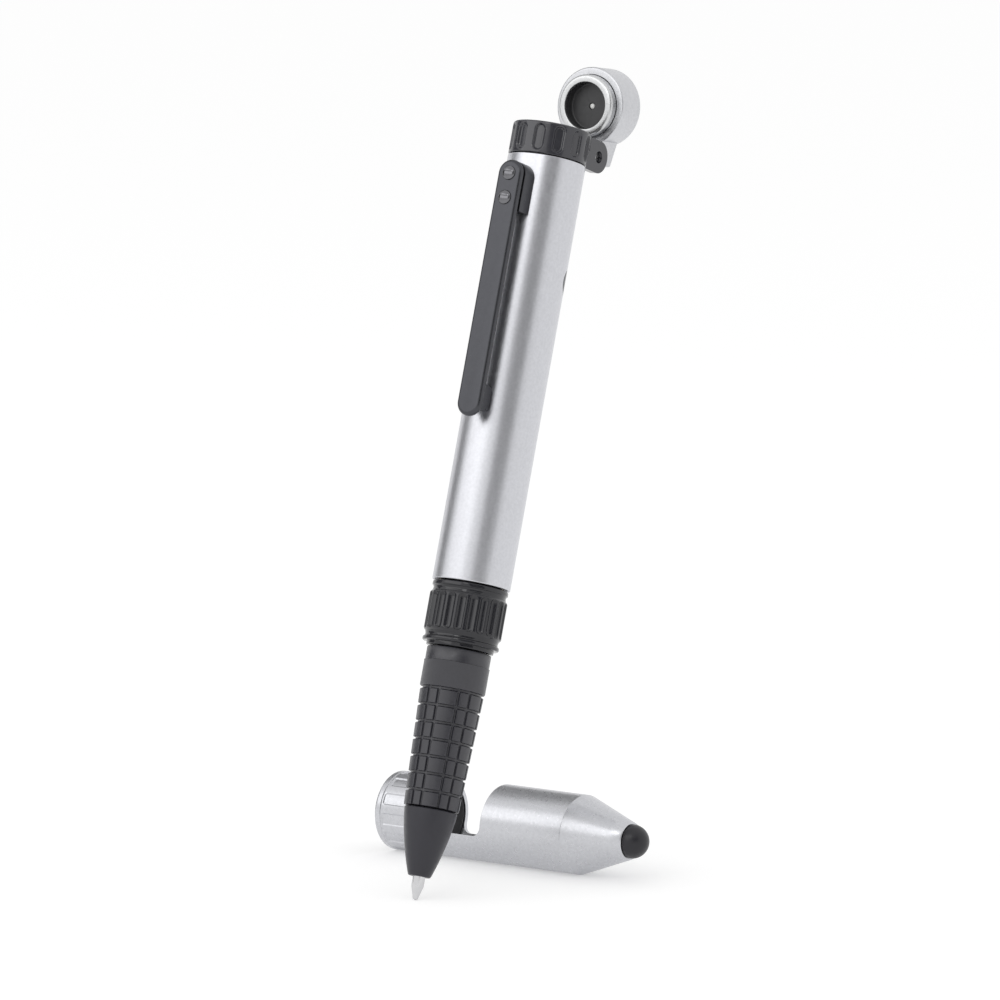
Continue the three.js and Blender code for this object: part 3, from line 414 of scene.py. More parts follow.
def ring_at(radius, height, angles):
    """A ring of points; angles run from the -Y side towards +X. Radius may differ by angle."""
    radius = np.broadcast_to(radius, angles.shape)
    height = np.broadcast_to(height, angles.shape)
    return np.stack([radius * np.sin(angles), -radius * np.cos(angles), height], axis=1)


def rings_along(outline, angles):
    """A ring of points for each (radius, height) of the outline."""
    return [ring_at(radius, height, angles) for radius, height in outline]


def loft(rings, closed=True):
    """Joins rings into a closed skin: back to the first ring, or with a flat face at each end."""
    count, steps = len(rings), len(rings[0])
    points = np.concatenate(rings)
    faces = []
    for i in range(count if closed else count - 1):
        low = i * steps
        high = (i + 1) % count * steps
        for j in range(steps):
            k = (j + 1) % steps
            faces.append((low + j, low + k, high + k, high + j))
    if not closed:
        faces.append(tuple(range(steps - 1, -1, -1)))
        faces.append(tuple((count - 1) * steps + j for j in range(steps)))
    return points, faces


def turned(outline, steps=TURN_STEPS, closed=True):
    """A turned piece from (radius, height) points, counterclockwise: outer wall going up."""
    angles = np.linspace(0, 2 * math.pi, steps, endpoint=False)
    return loft(rings_along(outline, angles), closed)


def rod(radius, bottom, top, rounding=0, steps=SMALL_STEPS):
    outline = [(radius, bottom), (radius, top)]
    if rounding:
        outline = corner((radius, bottom), IN, UP, rounding)
        outline += corner((radius, top), DOWN, IN, rounding)
    return turned(outline, steps, closed=False)


def tube(bore, radius, bottom, top, steps=SMALL_STEPS):
    return turned([(bore, bottom), (radius, bottom), (radius, top), (bore, top)], steps)


def corner(point, before, after, radius, steps=ROUND_STEPS):
    """Points rounding a corner: before and after are unit directions from it along its two sides."""
    p = np.array(point, float)
    a = np.array(before, float)
    b = np.array(after, float)
    start, end = p + a * radius, p + b * radius
    out = []
    for t in np.linspace(0, 1, steps + 1):
        out.append(tuple((1 - t) ** 2 * start + 2 * t * (1 - t) * p + t ** 2 * end))
    return out


def extruded(outline, low, high):
    """A prism along Z from a counterclockwise outline of (x, y)."""
    outline = np.array(outline, float)
    rings = [np.column_stack([outline, np.full(len(outline), z)]) for z in (low, high)]
    return loft(rings, closed=False)


def arc(centre, radius, start, end, steps):
    angles = np.linspace(start, end, steps + 1)
    return [(centre[0] + radius * math.cos(a), centre[1] + radius * math.sin(a)) for a in angles]


def dome(radius, level, rise, steps):
    """The outline of a dome from its rim at level almost to its tip."""
    return [(radius * math.cos(a), level + rise * math.sin(a))
            for a in np.linspace(0, math.pi / 2, steps, endpoint=False)]


def stadium(width, length, steps):
    """Outline with two round ends, centred, its length along Y."""
    radius = width / 2
    straight = length / 2 - radius
    upper = arc((0, straight), radius, 0, math.pi, steps)
    lower = arc((0, -straight), radius, math.pi, 2 * math.pi, steps)
    return upper + lower


def moved(mesh, matrix):
    points, faces = mesh
    rotation = np.array(matrix.to_3x3())
    return points @ rotation.T + np.array(matrix.translation), faces


def outwards(mesh, angle=0, level=0):
    """Turns a piece drawn with +Z pointing away from the axis to its angle round the pen."""
    turn = Matrix.Rotation(angle, 4, "Z") @ Matrix.Rotation(math.pi / 2, 4, "X")
    return moved(mesh, Matrix.Translation((0, 0, level)) @ turn)


def across(outline, width):
    """A slab across X from an outline of (distance along +Y, height)."""
    turn = Matrix.Rotation(math.pi / 2, 4, "Z") @ Matrix.Rotation(math.pi / 2, 4, "X")
    return moved(extruded(outline, -width / 2, width / 2), turn)


def along_hinge(mesh):
    """Lays an upright piece along the hinge's axis."""
    turn = Matrix.Rotation(math.pi / 2, 4, "Y")
    return moved(mesh, Matrix.Translation((0, PIVOT_REACH, pivot_level)) @ turn)


def along_drum(mesh):
    """Lays an upright piece along the lamp's axis, its heights along +Y."""
    turn = Matrix.Rotation(-math.pi / 2, 4, "X")
    return moved(mesh, Matrix.Translation((0, 0, drum_level)) @ turn)


def box(low, high):
    outline = [(low[0], low[1]), (high[0], low[1]), (high[0], high[1]), (low[0], high[1])]
    return extruded(outline, low[2], high[2])


def added(name, data):
    """A Blender object in the scene."""
    thing = bpy.data.objects.new(name, data)
    bpy.context.scene.collection.objects.link(thing)
    return thing


def make(name, mesh, matrix=None):
    """A Blender object from a mesh in millimetres, with matrix as its place until it is finished."""
    points, faces = mesh
    data = bpy.data.meshes.new(name)
    data.from_pydata((points * MM).tolist(), [], faces)
    data.update()
    thing = added(name, data)
    if matrix:
        thing.matrix_world = matrix
    return thing


def apply_modifiers(thing):
    bpy.context.view_layer.update()
    graph = bpy.context.evaluated_depsgraph_get()
    data = bpy.data.meshes.new_from_object(thing.evaluated_get(graph))
    old = thing.data
    thing.modifiers.clear()
    thing.data = data
    bpy.data.meshes.remove(old)


def combine(thing, meshes, operation):
    """Cuts meshes out of thing, or joins them to it."""
    for mesh in meshes:
        tool = make("tool", mesh, thing.matrix_world.copy())
        modifier = thing.modifiers.new("solid", "BOOLEAN")
        modifier.operation = operation
        modifier.solver = "EXACT"
        modifier.object = tool
        apply_modifiers(thing)
        data = tool.data
        bpy.data.objects.remove(tool)
        bpy.data.meshes.remove(data)


def round_edges(thing, width, segments=3, angle=50):
    modifier = thing.modifiers.new("rounding", "BEVEL")
    modifier.width = width * MM
    modifier.segments = segments
    modifier.limit_method = "ANGLE"
    modifier.angle_limit = math.radians(angle)
    apply_modifiers(thing)


def finish_piece(thing, body, node, material, smooth=35):
    """Smooth shading up to an angle and a material for a node's piece, which is hung on its body's
    empty while the node's own solid is hidden.
    """
    thing.data.transform(thing.matrix_world)
    thing.matrix_world = Matrix.Identity(4)
    thing.data.materials.clear()
    thing.data.materials.append(material)
    thing.data.shade_smooth()
    thing.data.set_sharp_from_angle(angle=math.radians(smooth))
    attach(thing, body)
    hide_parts(node)


# Material tools
NOISE_LOW = 0.3
NOISE_HIGH = 0.7


def fill(node, values):
    for name, value in values.items():
        node.inputs[name].default_value = value


class Paint:
    """A Principled material whose colour, roughness and surface vary with fine noise."""

    def __init__(self, name, color, roughness, metallic=0.0, ior=1.5, lay=None):
        self.material = bpy.data.materials.new(name)
        self.material.use_nodes = True
        self.tree = self.material.node_tree
        self.shader = self.tree.nodes["Principled BSDF"]
        self.color = color
        self.roughness = roughness
        fill(self.shader, {"Metallic": metallic, "IOR": ior})
        self.coordinates = self.tree.nodes.new("ShaderNodeTexCoord")
        self.turn = lay.to_euler() if lay else (0, 0, 0)
        self.normal = None

    def link(self, output, socket):
        self.tree.links.new(output, socket)

    def noise(self, size, stretch=(1, 1, 1), detail=3):
        """Noise of features about size millimetres across, longer along the stretched axes."""
        mapping = self.tree.nodes.new("ShaderNodeMapping")
        mapping.vector_type = "TEXTURE"
        fill(mapping, {"Rotation": self.turn, "Scale": stretch})
        self.link(self.coordinates.outputs["Object"], mapping.inputs["Vector"])
        texture = self.tree.nodes.new("ShaderNodeTexNoise")
        fill(texture, {"Scale": 1 / (size * MM), "Detail": detail})
        self.link(mapping.outputs["Vector"], texture.inputs["Vector"])
        return texture.outputs["Fac"]

    def vary_color(self, noise, amount):
        ramp = self.tree.nodes.new("ShaderNodeValToRGB")
        low, high = ramp.color_ramp.elements
        low.position = NOISE_LOW
        high.position = NOISE_HIGH
        low.color = [c * (1 - amount) for c in self.color] + [1]
        high.color = [min(1, c * (1 + amount)) for c in self.color] + [1]
        self.link(noise, ramp.inputs["Fac"])
        self.link(ramp.outputs["Color"], self.shader.inputs["Base Color"])

    def vary_roughness(self, noise, spread):
        scale = self.tree.nodes.new("ShaderNodeMapRange")
        fill(scale, {"From Min": NOISE_LOW, "From Max": NOISE_HIGH})
        fill(scale, {"To Min": self.roughness - spread, "To Max": self.roughness + spread})
        self.link(noise, scale.inputs["Value"])
        self.link(scale.outputs["Result"], self.shader.inputs["Roughness"])

    def soften_edges(self, radius):
        node = self.tree.nodes.new("ShaderNodeBevel")
        node.samples = 4
        fill(node, {"Radius": radius * MM})
        self.join_normal(node.outputs["Normal"])

    def raise_surface(self, noise, height):
        node = self.tree.nodes.new("ShaderNodeBump")
        fill(node, {"Distance": height * MM, "Strength": 1})
        self.link(noise, node.inputs["Height"])
        if self.normal:
            self.link(self.normal, node.inputs["Normal"])
        self.join_normal(node.outputs["Normal"])

    def join_normal(self, socket):
        self.normal = socket
        self.link(socket, self.shader.inputs["Normal"])


def satin_metal(name, color, roughness, grain, lay, edge=0.0):
    """Blasted or brushed metal: fine grain, faint turning rings, slight clouding."""
    paint = Paint(name, color, roughness, metallic=1.0, lay=lay)
    paint.vary_color(paint.noise(0.45, detail=4), 0.05)
    paint.vary_roughness(paint.noise(0.5, detail=4), 0.04)
    if edge:
        paint.soften_edges(edge)
    paint.raise_surface(paint.noise(0.12, detail=4), grain)
    paint.raise_surface(paint.noise(0.16, (40, 40, 1), 2), grain * 0.8)
    return paint.material


def plain_metal(name, color, roughness):
    paint = Paint(name, color, roughness, metallic=1.0)
    paint.vary_color(paint.noise(0.8), 0.03)
    paint.vary_roughness(paint.noise(0.4), 0.03)
    paint.raise_surface(paint.noise(0.2, (12, 12, 1)), 0.002)
    return paint.material


def plastic(name, color, roughness, grain, mottle, edge=0.0, ior=1.5):
    paint = Paint(name, color, roughness, ior=ior)
    paint.vary_color(paint.noise(2.0, detail=5), mottle)
    paint.vary_roughness(paint.noise(0.6), min(0.06, roughness * 0.3))
    if edge:
        paint.soften_edges(edge)
    paint.raise_surface(paint.noise(0.15, detail=4), grain)
    return paint.material


BARREL_SILVER = satin_metal("satin_silver", (0.60, 0.605, 0.635), 0.32, 0.006, PEN)
HEAD_SILVER = satin_metal("satin_silver_head", (0.58, 0.585, 0.605), 0.36, 0.006, HEAD, edge=0.1)
CAP_SILVER = satin_metal("brushed_silver", (0.565, 0.57, 0.595), 0.3, 0.003, CAP, edge=0.05)
BEZEL_SILVER = satin_metal("turned_silver", (0.60, 0.605, 0.61), 0.3, 0.006, HEAD)
STEEL = plain_metal("steel", (0.62, 0.62, 0.63), 0.16)
BRASS = plain_metal("brass", (0.55, 0.38, 0.13), 0.28)
CLIP_DARK = plain_metal("clip_dark", (0.073, 0.074, 0.081), 0.3)
SCREW_DARK = plain_metal("screw_dark", (0.17, 0.17, 0.18), 0.16)
COLLAR_BLACK = plastic("collar_black", (0.009, 0.009, 0.013), 0.09, 0.001, 0.05, 0.05, 1.54)
RING_BLACK = plastic("ring_black", (0.020, 0.020, 0.027), 0.17, 0.002, 0.06, 0.06, 1.68)
CONE_BLACK = plastic("cone_black", (0.018, 0.0175, 0.0245), 0.36, 0.004, 0.06)
GRIP_BLACK = plastic("grip_black", (0.019, 0.0185, 0.0255), 0.36, 0.006, 0.08, 0.06, 1.65)
INNER_BLACK = plastic("inner_black", (0.03, 0.03, 0.033), 0.5, 0.005, 0.08, 0.05)
STYLUS_BLACK = plastic("stylus_black", (0.008, 0.0075, 0.0115), 0.38, 0.003, 0.06)
CUP_BLACK = plastic("cup_black", (0.04, 0.04, 0.042), 0.4, 0.003, 0.05)
TUBE_WHITE = plastic("tube_white", (0.75, 0.76, 0.78), 0.3, 0.002, 0.03)
BOARD_GREEN = plastic("board_green", (0.03, 0.14, 0.06), 0.35, 0.004, 0.15)
LENS_WHITE = plastic("lens_white", (0.9, 0.9, 0.88), 0.08, 0.0005, 0.02)


# Front section

def make_ball():
    angles = np.linspace(-math.pi / 2, math.pi / 2, HOLE_STEPS + 1)[1:-1]
    outline = [(BALL_RADIUS * math.cos(a), BALL_RADIUS * (1 + math.sin(a))) for a in angles]
    thing = make("ball", turned(outline, PIN_STEPS, closed=False), PEN)
    finish_piece(thing, "ball", "writing_ball", STEEL, smooth=60)


def make_tip():
    mouth = math.sqrt(BALL_RADIUS ** 2 - (BALL_RADIUS - BALL_SHOWS) ** 2) + BALL_GAP
    seat = BALL_RADIUS + BALL_GAP
    shoulder = nose_shelf + FIT_GAP
    shoulder_top = shoulder + TIP_SHOULDER_LENGTH
    shank = REFILL_RADIUS - REFILL_WALL - FIT_GAP
    taper_top = BALL_SHOWS + TIP_TAPER_LENGTH
    outline = [(mouth, BALL_SHOWS), (mouth + MOUTH_WALL, BALL_SHOWS)]
    outline += [(TIP_RADIUS - TIP_EDGE_DEPTH, taper_top - TIP_EDGE_REACH)]
    outline += [(TIP_RADIUS, taper_top + TIP_EDGE_REACH)]
    outline += [(TIP_RADIUS, shoulder), (REFILL_RADIUS, shoulder), (REFILL_RADIUS, shoulder_top)]
    outline += [(shank, shoulder_top), (shank, shoulder_top + TIP_SHANK_LENGTH)]
    outline += [(INK_RADIUS, shoulder_top + TIP_SHANK_LENGTH)]
    outline += [(INK_RADIUS, 2 * BALL_RADIUS + BALL_GAP), (seat, 2 * BALL_RADIUS + BALL_GAP)]
    outline += [(seat, BALL_RADIUS)]
    thing = make("tip", turned(outline, SMALL_STEPS), PEN)
    finish_piece(thing, "front", "refill_tip", STEEL)


def make_refill():
    bottom = nose_shelf + FIT_GAP + TIP_SHOULDER_LENGTH + FIT_GAP
    bore = REFILL_RADIUS - REFILL_WALL
    thing = make("ink_tube", tube(bore, REFILL_RADIUS, bottom, REFILL_TOP, PIN_STEPS), PEN)
    finish_piece(thing, "front", "refill_tube", TUBE_WHITE)


def cone_radius(t):
    straight = CONE_END_RADIUS + (CONE_TOP_RADIUS - CONE_END_RADIUS) * t
    return straight + 4 * CONE_BULGE * t * (1 - t)


def make_nose_cone():
    tip_bore = TIP_RADIUS + FIT_GAP
    refill_bore = REFILL_RADIUS + FIT_GAP
    socket = CORE_SPIGOT_RADIUS + FIT_GAP
    socket_bottom = cone_top - NOSE_SOCKET_LENGTH
    outline = [(tip_bore, cone_bottom)]
    outline += corner((CONE_END_RADIUS, cone_bottom), IN, (0.3, 1), CONE_END_ROUNDING)
    first = CONE_END_ROUNDING / CONE_LENGTH * CONE_END_CLEAR
    for t in np.linspace(first, 1 - CONE_TOP_ROUNDING / CONE_LENGTH, CONE_RINGS):
        outline.append((cone_radius(t), cone_bottom + t * CONE_LENGTH))
    outline += [(CONE_TOP_RADIUS - CONE_TOP_ROUNDING, cone_top)]
    outline += [(socket, cone_top), (socket, socket_bottom), (refill_bore, socket_bottom)]
    outline += [(refill_bore, nose_shelf), (tip_bore, nose_shelf)]
    thing = make("nose", turned(outline), PEN)
    finish_piece(thing, "front", "nose_cone", CONE_BLACK)


def groove(distance, half_width, edge):
    """1 in a groove, 0 outside it, with a soft edge."""
    t = np.clip((half_width + edge / 2 - np.abs(distance)) / edge, 0, 1)
    return t * t * (3 - 2 * t)


def grip_radius(height):
    t = (height - sleeve_bottom) / (pads_top - sleeve_bottom)
    return GRIP_LOW_RADIUS + (GRIP_HIGH_RADIUS - GRIP_LOW_RADIUS) * t


def spread(count):
    """Angles of the middles of count equal parts of a turn."""
    pitch = 2 * math.pi / count
    return [(i + 0.5) * pitch for i in range(count)]


def column_middles():
    middles = []
    for pair in range(PAD_COLUMN_PAIRS):
        middle = COLUMN_PHASE + pair * 2 * math.pi / PAD_COLUMN_PAIRS
        middles += [middle - NARROW_COLUMN / 2, middle + NARROW_COLUMN / 2]
    return middles


def fine_angles(middles, half_span, fine_steps, coarse_steps):
    """Angles close together about each middle and further apart between them."""
    middles = np.sort(np.mod(middles, 2 * math.pi))
    following = np.append(middles[1:], middles[0] + 2 * math.pi)
    angles = []
    for middle, after in zip(middles, following):
        angles += list(np.linspace(middle - half_span, middle + half_span, fine_steps + 1))
        between = np.linspace(middle + half_span, after - half_span, coarse_steps + 1)
        angles += list(between[1:-1])
    return np.sort(np.mod(angles, 2 * math.pi))


def slotted(angles, height, middles, radius, slot):
    """Depth of the slots round a turned wall, height measured from their middle."""
    deepest = np.zeros_like(angles)
    for middle in middles:
        sideways = np.angle(np.exp(1j * (angles - middle))) * radius
        deepest = np.maximum(deepest, slot(sideways, height))
    return deepest


def pad_groove(across_it, _=0):
    """Share of the full depth of the grooves between the pads, the same all along them."""
    return groove(across_it, PAD_GROOVE_WIDTH / 2, PAD_EDGE)


def make_sleeve():
    middles = column_middles()
    reach = (PAD_GROOVE_WIDTH / 2 + PAD_EDGE) / GRIP_LOW_RADIUS
    angles = fine_angles(middles, reach, PAD_GROOVE_STEPS, PAD_STEPS)
    heights = []
    for row in range(PAD_ROWS):
        top = sleeve_bottom + (row + 1) * PAD_PITCH
        low = top - PAD_PITCH + PAD_EDGE / 2
        edge = top - PAD_GROOVE_WIDTH - PAD_EDGE
        heights += list(np.linspace(low, edge, PAD_STEPS, endpoint=False))
        heights += list(np.linspace(edge, top + PAD_EDGE / 2, PAD_GROOVE_STEPS, endpoint=False))
    rings = [ring_at(CORE_RADIUS + FIT_GAP, sleeve_bottom, angles)]
    rings.append(ring_at(grip_radius(sleeve_bottom) - PAD_EDGE, sleeve_bottom, angles))
    columns = slotted(angles, 0, middles, GRIP_BAND_RADIUS, pad_groove)
    for height in heights:
        row = math.ceil((height - sleeve_bottom) / PAD_PITCH - PAD_ROW_SLACK)
        middle = sleeve_bottom + row * PAD_PITCH - PAD_GROOVE_WIDTH / 2
        depth = PAD_GROOVE_DEPTH * np.maximum(columns, pad_groove(height - middle))
        rings.append(ring_at(grip_radius(height) - depth, height, angles))
    band_low = pads_top + LEVEL_GAP
    ridge = GRIP_BAND_RADIUS + PARTING_RIDGE
    half = PARTING_RIDGE_WIDTH / 2
    band = [(GRIP_BAND_RADIUS - BAND_CHAMFER, band_low), (GRIP_BAND_RADIUS, band_low + BAND_CHAMFER)]
    band += [(GRIP_BAND_RADIUS, parting_line - CUFF_CHAMFER)]
    band += [(ridge, parting_line - half), (ridge, parting_line + half)]
    band += [(GRIP_CUFF_RADIUS, parting_line + CUFF_CHAMFER)]
    band += [(GRIP_CUFF_RADIUS, sleeve_top - CUFF_CHAMFER)]
    band += [(GRIP_CUFF_RADIUS - CUFF_CHAMFER, sleeve_top), (CORE_RADIUS + FIT_GAP, sleeve_top)]
    rings += rings_along(band, angles)
    thing = make("grip", loft(rings), PEN)
    finish_piece(thing, "front", "grip_sleeve", GRIP_BLACK, smooth=50)


def from_spine(sideways, lengthways, width, length):
    """Distance of points from the middle line of a round-ended slot."""
    beyond = np.maximum(np.abs(lengthways) - (length - width) / 2, 0)
    return np.hypot(sideways, beyond)


def ring_slot(sideways, lengthways):
    """Depth of the top ring's slots: flat floor, round ends, soft edges."""
    distance = from_spine(sideways, lengthways, SLOT_WIDTH, SLOT_LENGTH)
    return SLOT_DEPTH * groove(distance, (SLOT_WIDTH - SLOT_SLOPE) / 2, SLOT_SLOPE)


def cap_slot(sideways, lengthways):
    """Depth of the cap's slots: flat floor, small round corners, soft edges."""
    side = np.maximum(np.abs(sideways) - CAP_SLOT_WIDTH / 2 + CAP_SLOT_CORNER, 0)
    end = max(abs(lengthways) - CAP_SLOT_LENGTH / 2 + CAP_SLOT_CORNER, 0)
    distance = np.hypot(side, end)
    return CAP_SLOT_DEPTH * groove(distance, CAP_SLOT_CORNER - SLOT_EDGE / 2, SLOT_EDGE)


def flute(sideways, lengthways):
    """Depth of the collar's flutes: hollow like a ball-nosed cut."""
    half = FLUTE_WIDTH / 2
    curve = (half ** 2 + FLUTE_DEPTH ** 2) / (2 * FLUTE_DEPTH)
    distance = np.minimum(from_spine(sideways, lengthways, FLUTE_WIDTH, FLUTE_LENGTH), half)
    return np.sqrt(curve ** 2 - distance ** 2) - (curve - FLUTE_DEPTH)


def waist(low, high):
    """A slightly hollow wall between two levels."""
    return [(WAIST_RADIUS - WAIST_HOLLOW * math.sin(t * math.pi), low + (high - low) * t)
            for t in np.linspace(0, 1, WAIST_RINGS)]


def make_collar():
    middles = spread(FLUTE_COUNT)
    reach = (FLUTE_WIDTH / 2 + FLUTE_MARGIN) / FLUTED_RADIUS
    angles = fine_angles(middles, reach, FLUTE_STEPS, FLUTE_LAND_STEPS)
    core_socket = CORE_RADIUS + FIT_GAP
    socket_top = collar_bottom + CORE_TOP_LENGTH + STACK_GAP
    outer = [(core_socket, collar_bottom)]
    outer += corner((COLLAR_SEAT_RADIUS, collar_bottom), IN, UP, COLLAR_SEAT_ROUNDING)
    outer += [(COLLAR_SEAT_RADIUS, lower_lip - LEVEL_GAP)]
    outer += corner((LOWER_LIP_RADIUS, lower_lip), IN, UP, LIP_ROUNDING)
    outer += corner((LOWER_LIP_RADIUS, lower_waist), DOWN, IN, LIP_ROUNDING)
    band_low = fluted_bottom - FLUTED_OVERRUN
    band_high = fluted_top + FLUTED_OVERRUN
    outer += waist(lower_waist + WAIST_INSET / 2, band_low - WAIST_INSET)
    lofted = rings_along(outer, angles)
    middle = (fluted_bottom + fluted_top) / 2
    rows = int((band_high - band_low) / DETAIL_STEP)
    for height in np.linspace(band_low, band_high, rows):
        inside = min(height - band_low, band_high - height)
        rounded = math.sin(min(1, inside / FLUTED_EDGE_LENGTH) * math.pi / 2)
        radius = WAIST_RADIUS + (FLUTED_RADIUS - WAIST_RADIUS) * rounded
        depth = slotted(angles, height - middle, middles, FLUTED_RADIUS, flute)
        lofted.append(ring_at(np.minimum(radius, FLUTED_RADIUS - depth), height, angles))
    upper = waist(band_high + WAIST_INSET, upper_lip - WAIST_INSET)
    lip_foot = upper_lip - WAIST_INSET / 2
    upper += corner((UPPER_LIP_RADIUS, lip_foot), IN, UP, LIP_ROUNDING / 2)
    upper += corner((UPPER_LIP_RADIUS, collar_top), DOWN, IN, LIP_ROUNDING)
    upper += [(collar_spigot_radius, collar_top), (collar_spigot_radius, spigot_top)]
    upper += [(CORE_BORE, spigot_top), (CORE_BORE, socket_top), (core_socket, socket_top)]
    lofted += rings_along(upper, angles)
    thing = make("collar_fine", loft(lofted), PEN)
    finish_piece(thing, "front", "collar", COLLAR_BLACK, smooth=50)


# Barrel and clip

def radial_rod(radius, angle, level, steps=SMALL_STEPS):
    return outwards(rod(radius, barrel_bore / 2, 2 * BARREL_RADIUS, steps=steps), angle, level)


def screw_holes(gap):
    radius = SCREW_RADIUS + gap
    return [radial_rod(radius, 0, clip_top - place, HOLE_STEPS) for place in SCREW_PLACES.values()]


def make_barrel():
    outline = [(barrel_bore, barrel_bottom)]
    outline += corner((BARREL_RADIUS, barrel_bottom), IN, UP, BARREL_ROUNDING)
    outline += corner((BARREL_RADIUS, barrel_top), DOWN, IN, BARREL_ROUNDING)
    outline += [(barrel_bore, barrel_top)]
    thing = make("tube", turned(outline, WIDE_STEPS), PEN)
    button_hole = radial_rod(BUTTON_RADIUS + FIT_GAP, BUTTON_ANGLE, button_level)
    combine(thing, [button_hole] + screw_holes(SCREW_SWING_GAP), "DIFFERENCE")
    finish_piece(thing, "barrel", "barrel", BARREL_SILVER)


def make_insert():
    bottom = barrel_bottom + STACK_GAP
    radius = barrel_bore - FIT_GAP
    top = bottom + COLLAR_SPIGOT_LENGTH
    thing = make("insert", tube(insert_bore, radius, bottom, top, MIDDLE_STEPS), PEN)
    finish_piece(thing, "barrel", "barrel_insert", BRASS)


def make_clip():
    outline = stadium(CLIP_WIDTH, CLIP_LENGTH, steps=24)
    bar = extruded(outline, clip_inner_face, clip_outer_face)
    thing = make("clip_bar", outwards(bar, 0, (clip_top + clip_bottom) / 2), PEN)
    round_edges(thing, CLIP_ROUNDING, segments=8)
    combine(thing, screw_holes(FIT_GAP), "DIFFERENCE")
    bump_face = BARREL_RADIUS + BUMP_CLEARANCE
    bump_bottom = clip_bottom + CLIP_WIDTH / 4
    taper = (clip_inner_face - bump_face) / 2 * BUMP_TAPER
    overlap = CLIP_THICKNESS / 2
    bump_top = bump_bottom + BUMP_LENGTH
    outline = [(-clip_inner_face - overlap, bump_bottom), (-clip_inner_face, bump_bottom)]
    outline += corner((-bump_face, bump_bottom + taper), (-0.8, -0.6), UP, BUMP_ROUNDING)
    outline += corner((-bump_face, bump_top - taper), DOWN, (-0.8, 0.6), BUMP_ROUNDING)
    outline += [(-clip_inner_face, bump_top), (-clip_inner_face - overlap, bump_top)]
    combine(thing, [across(outline, BUMP_WIDTH)], "UNION")
    finish_piece(thing, "clip", "clip", CLIP_DARK)


def make_spacer():
    radius = CLIP_WIDTH / 2
    low = clip_top - SPACER_LENGTH
    outline = [(-radius, low), (radius, low)]
    outline += arc((0, clip_top - radius), radius, 0, math.pi, steps=32)
    block = outwards(extruded(outline, barrel_bore, BARREL_RADIUS + SPACER_HEIGHT))
    thing = make("spacer", block, PEN)
    seat = rod(BARREL_RADIUS + SEAT_GAP, barrel_bottom, ring_top, steps=WIDE_STEPS)
    combine(thing, [seat] + screw_holes(SCREW_SWING_GAP), "DIFFERENCE")
    round_edges(thing, SPACER_ROUNDING)
    finish_piece(thing, "barrel", "clip_spacer", CLIP_DARK)


def make_screw(node, place):
    head = clip_outer_face + FIT_GAP / 2
    outline = [(SCREW_RADIUS, barrel_bore - SCREW_TIP_LENGTH), (SCREW_RADIUS, head)]
    outline += dome(SCREW_HEAD_RADIUS, head, SCREW_HEAD_HEIGHT, steps=12)
    blank = outwards(turned(outline, PIN_STEPS, closed=False), 0, clip_top - place)
    thing = make(node + "_fine", blank, PEN)
    low = head + SCREW_HEAD_HEIGHT - DRIVER_SLOT_DEPTH
    high = head + 2 * SCREW_HEAD_HEIGHT
    half, slim = DRIVER_SLOT_LENGTH / 2, DRIVER_SLOT_WIDTH / 2
    slot = box((-half, -slim, low), (half, slim, high))
    combine(thing, [outwards(slot, 0, clip_top - place)], "DIFFERENCE")
    finish_piece(thing, "clip", node, SCREW_DARK)


def make_button():
    flange = BUTTON_RADIUS + BUTTON_FLANGE
    flange_face = math.sqrt(barrel_bore ** 2 - flange ** 2) - FIT_GAP
    flange_back = flange_face - BUTTON_FLANGE_THICKNESS
    outline = [(flange, flange_back), (flange, flange_face), (BUTTON_RADIUS, flange_face)]
    outline += [(BUTTON_RADIUS, 2 * BARREL_RADIUS)]
    blank = outwards(turned(outline, SMALL_STEPS, closed=False), BUTTON_ANGLE, button_level)
    thing = make("button", blank, PEN)
    span = 2 * flange
    limit = rod(BARREL_RADIUS, button_level - span, button_level + span, steps=WIDE_STEPS)
    combine(thing, [limit], "INTERSECT")
    round_edges(thing, BUTTON_ROUNDING, angle=40)
    finish_piece(thing, "button", "lamp_button", RING_BLACK)


# Top ring and hinge

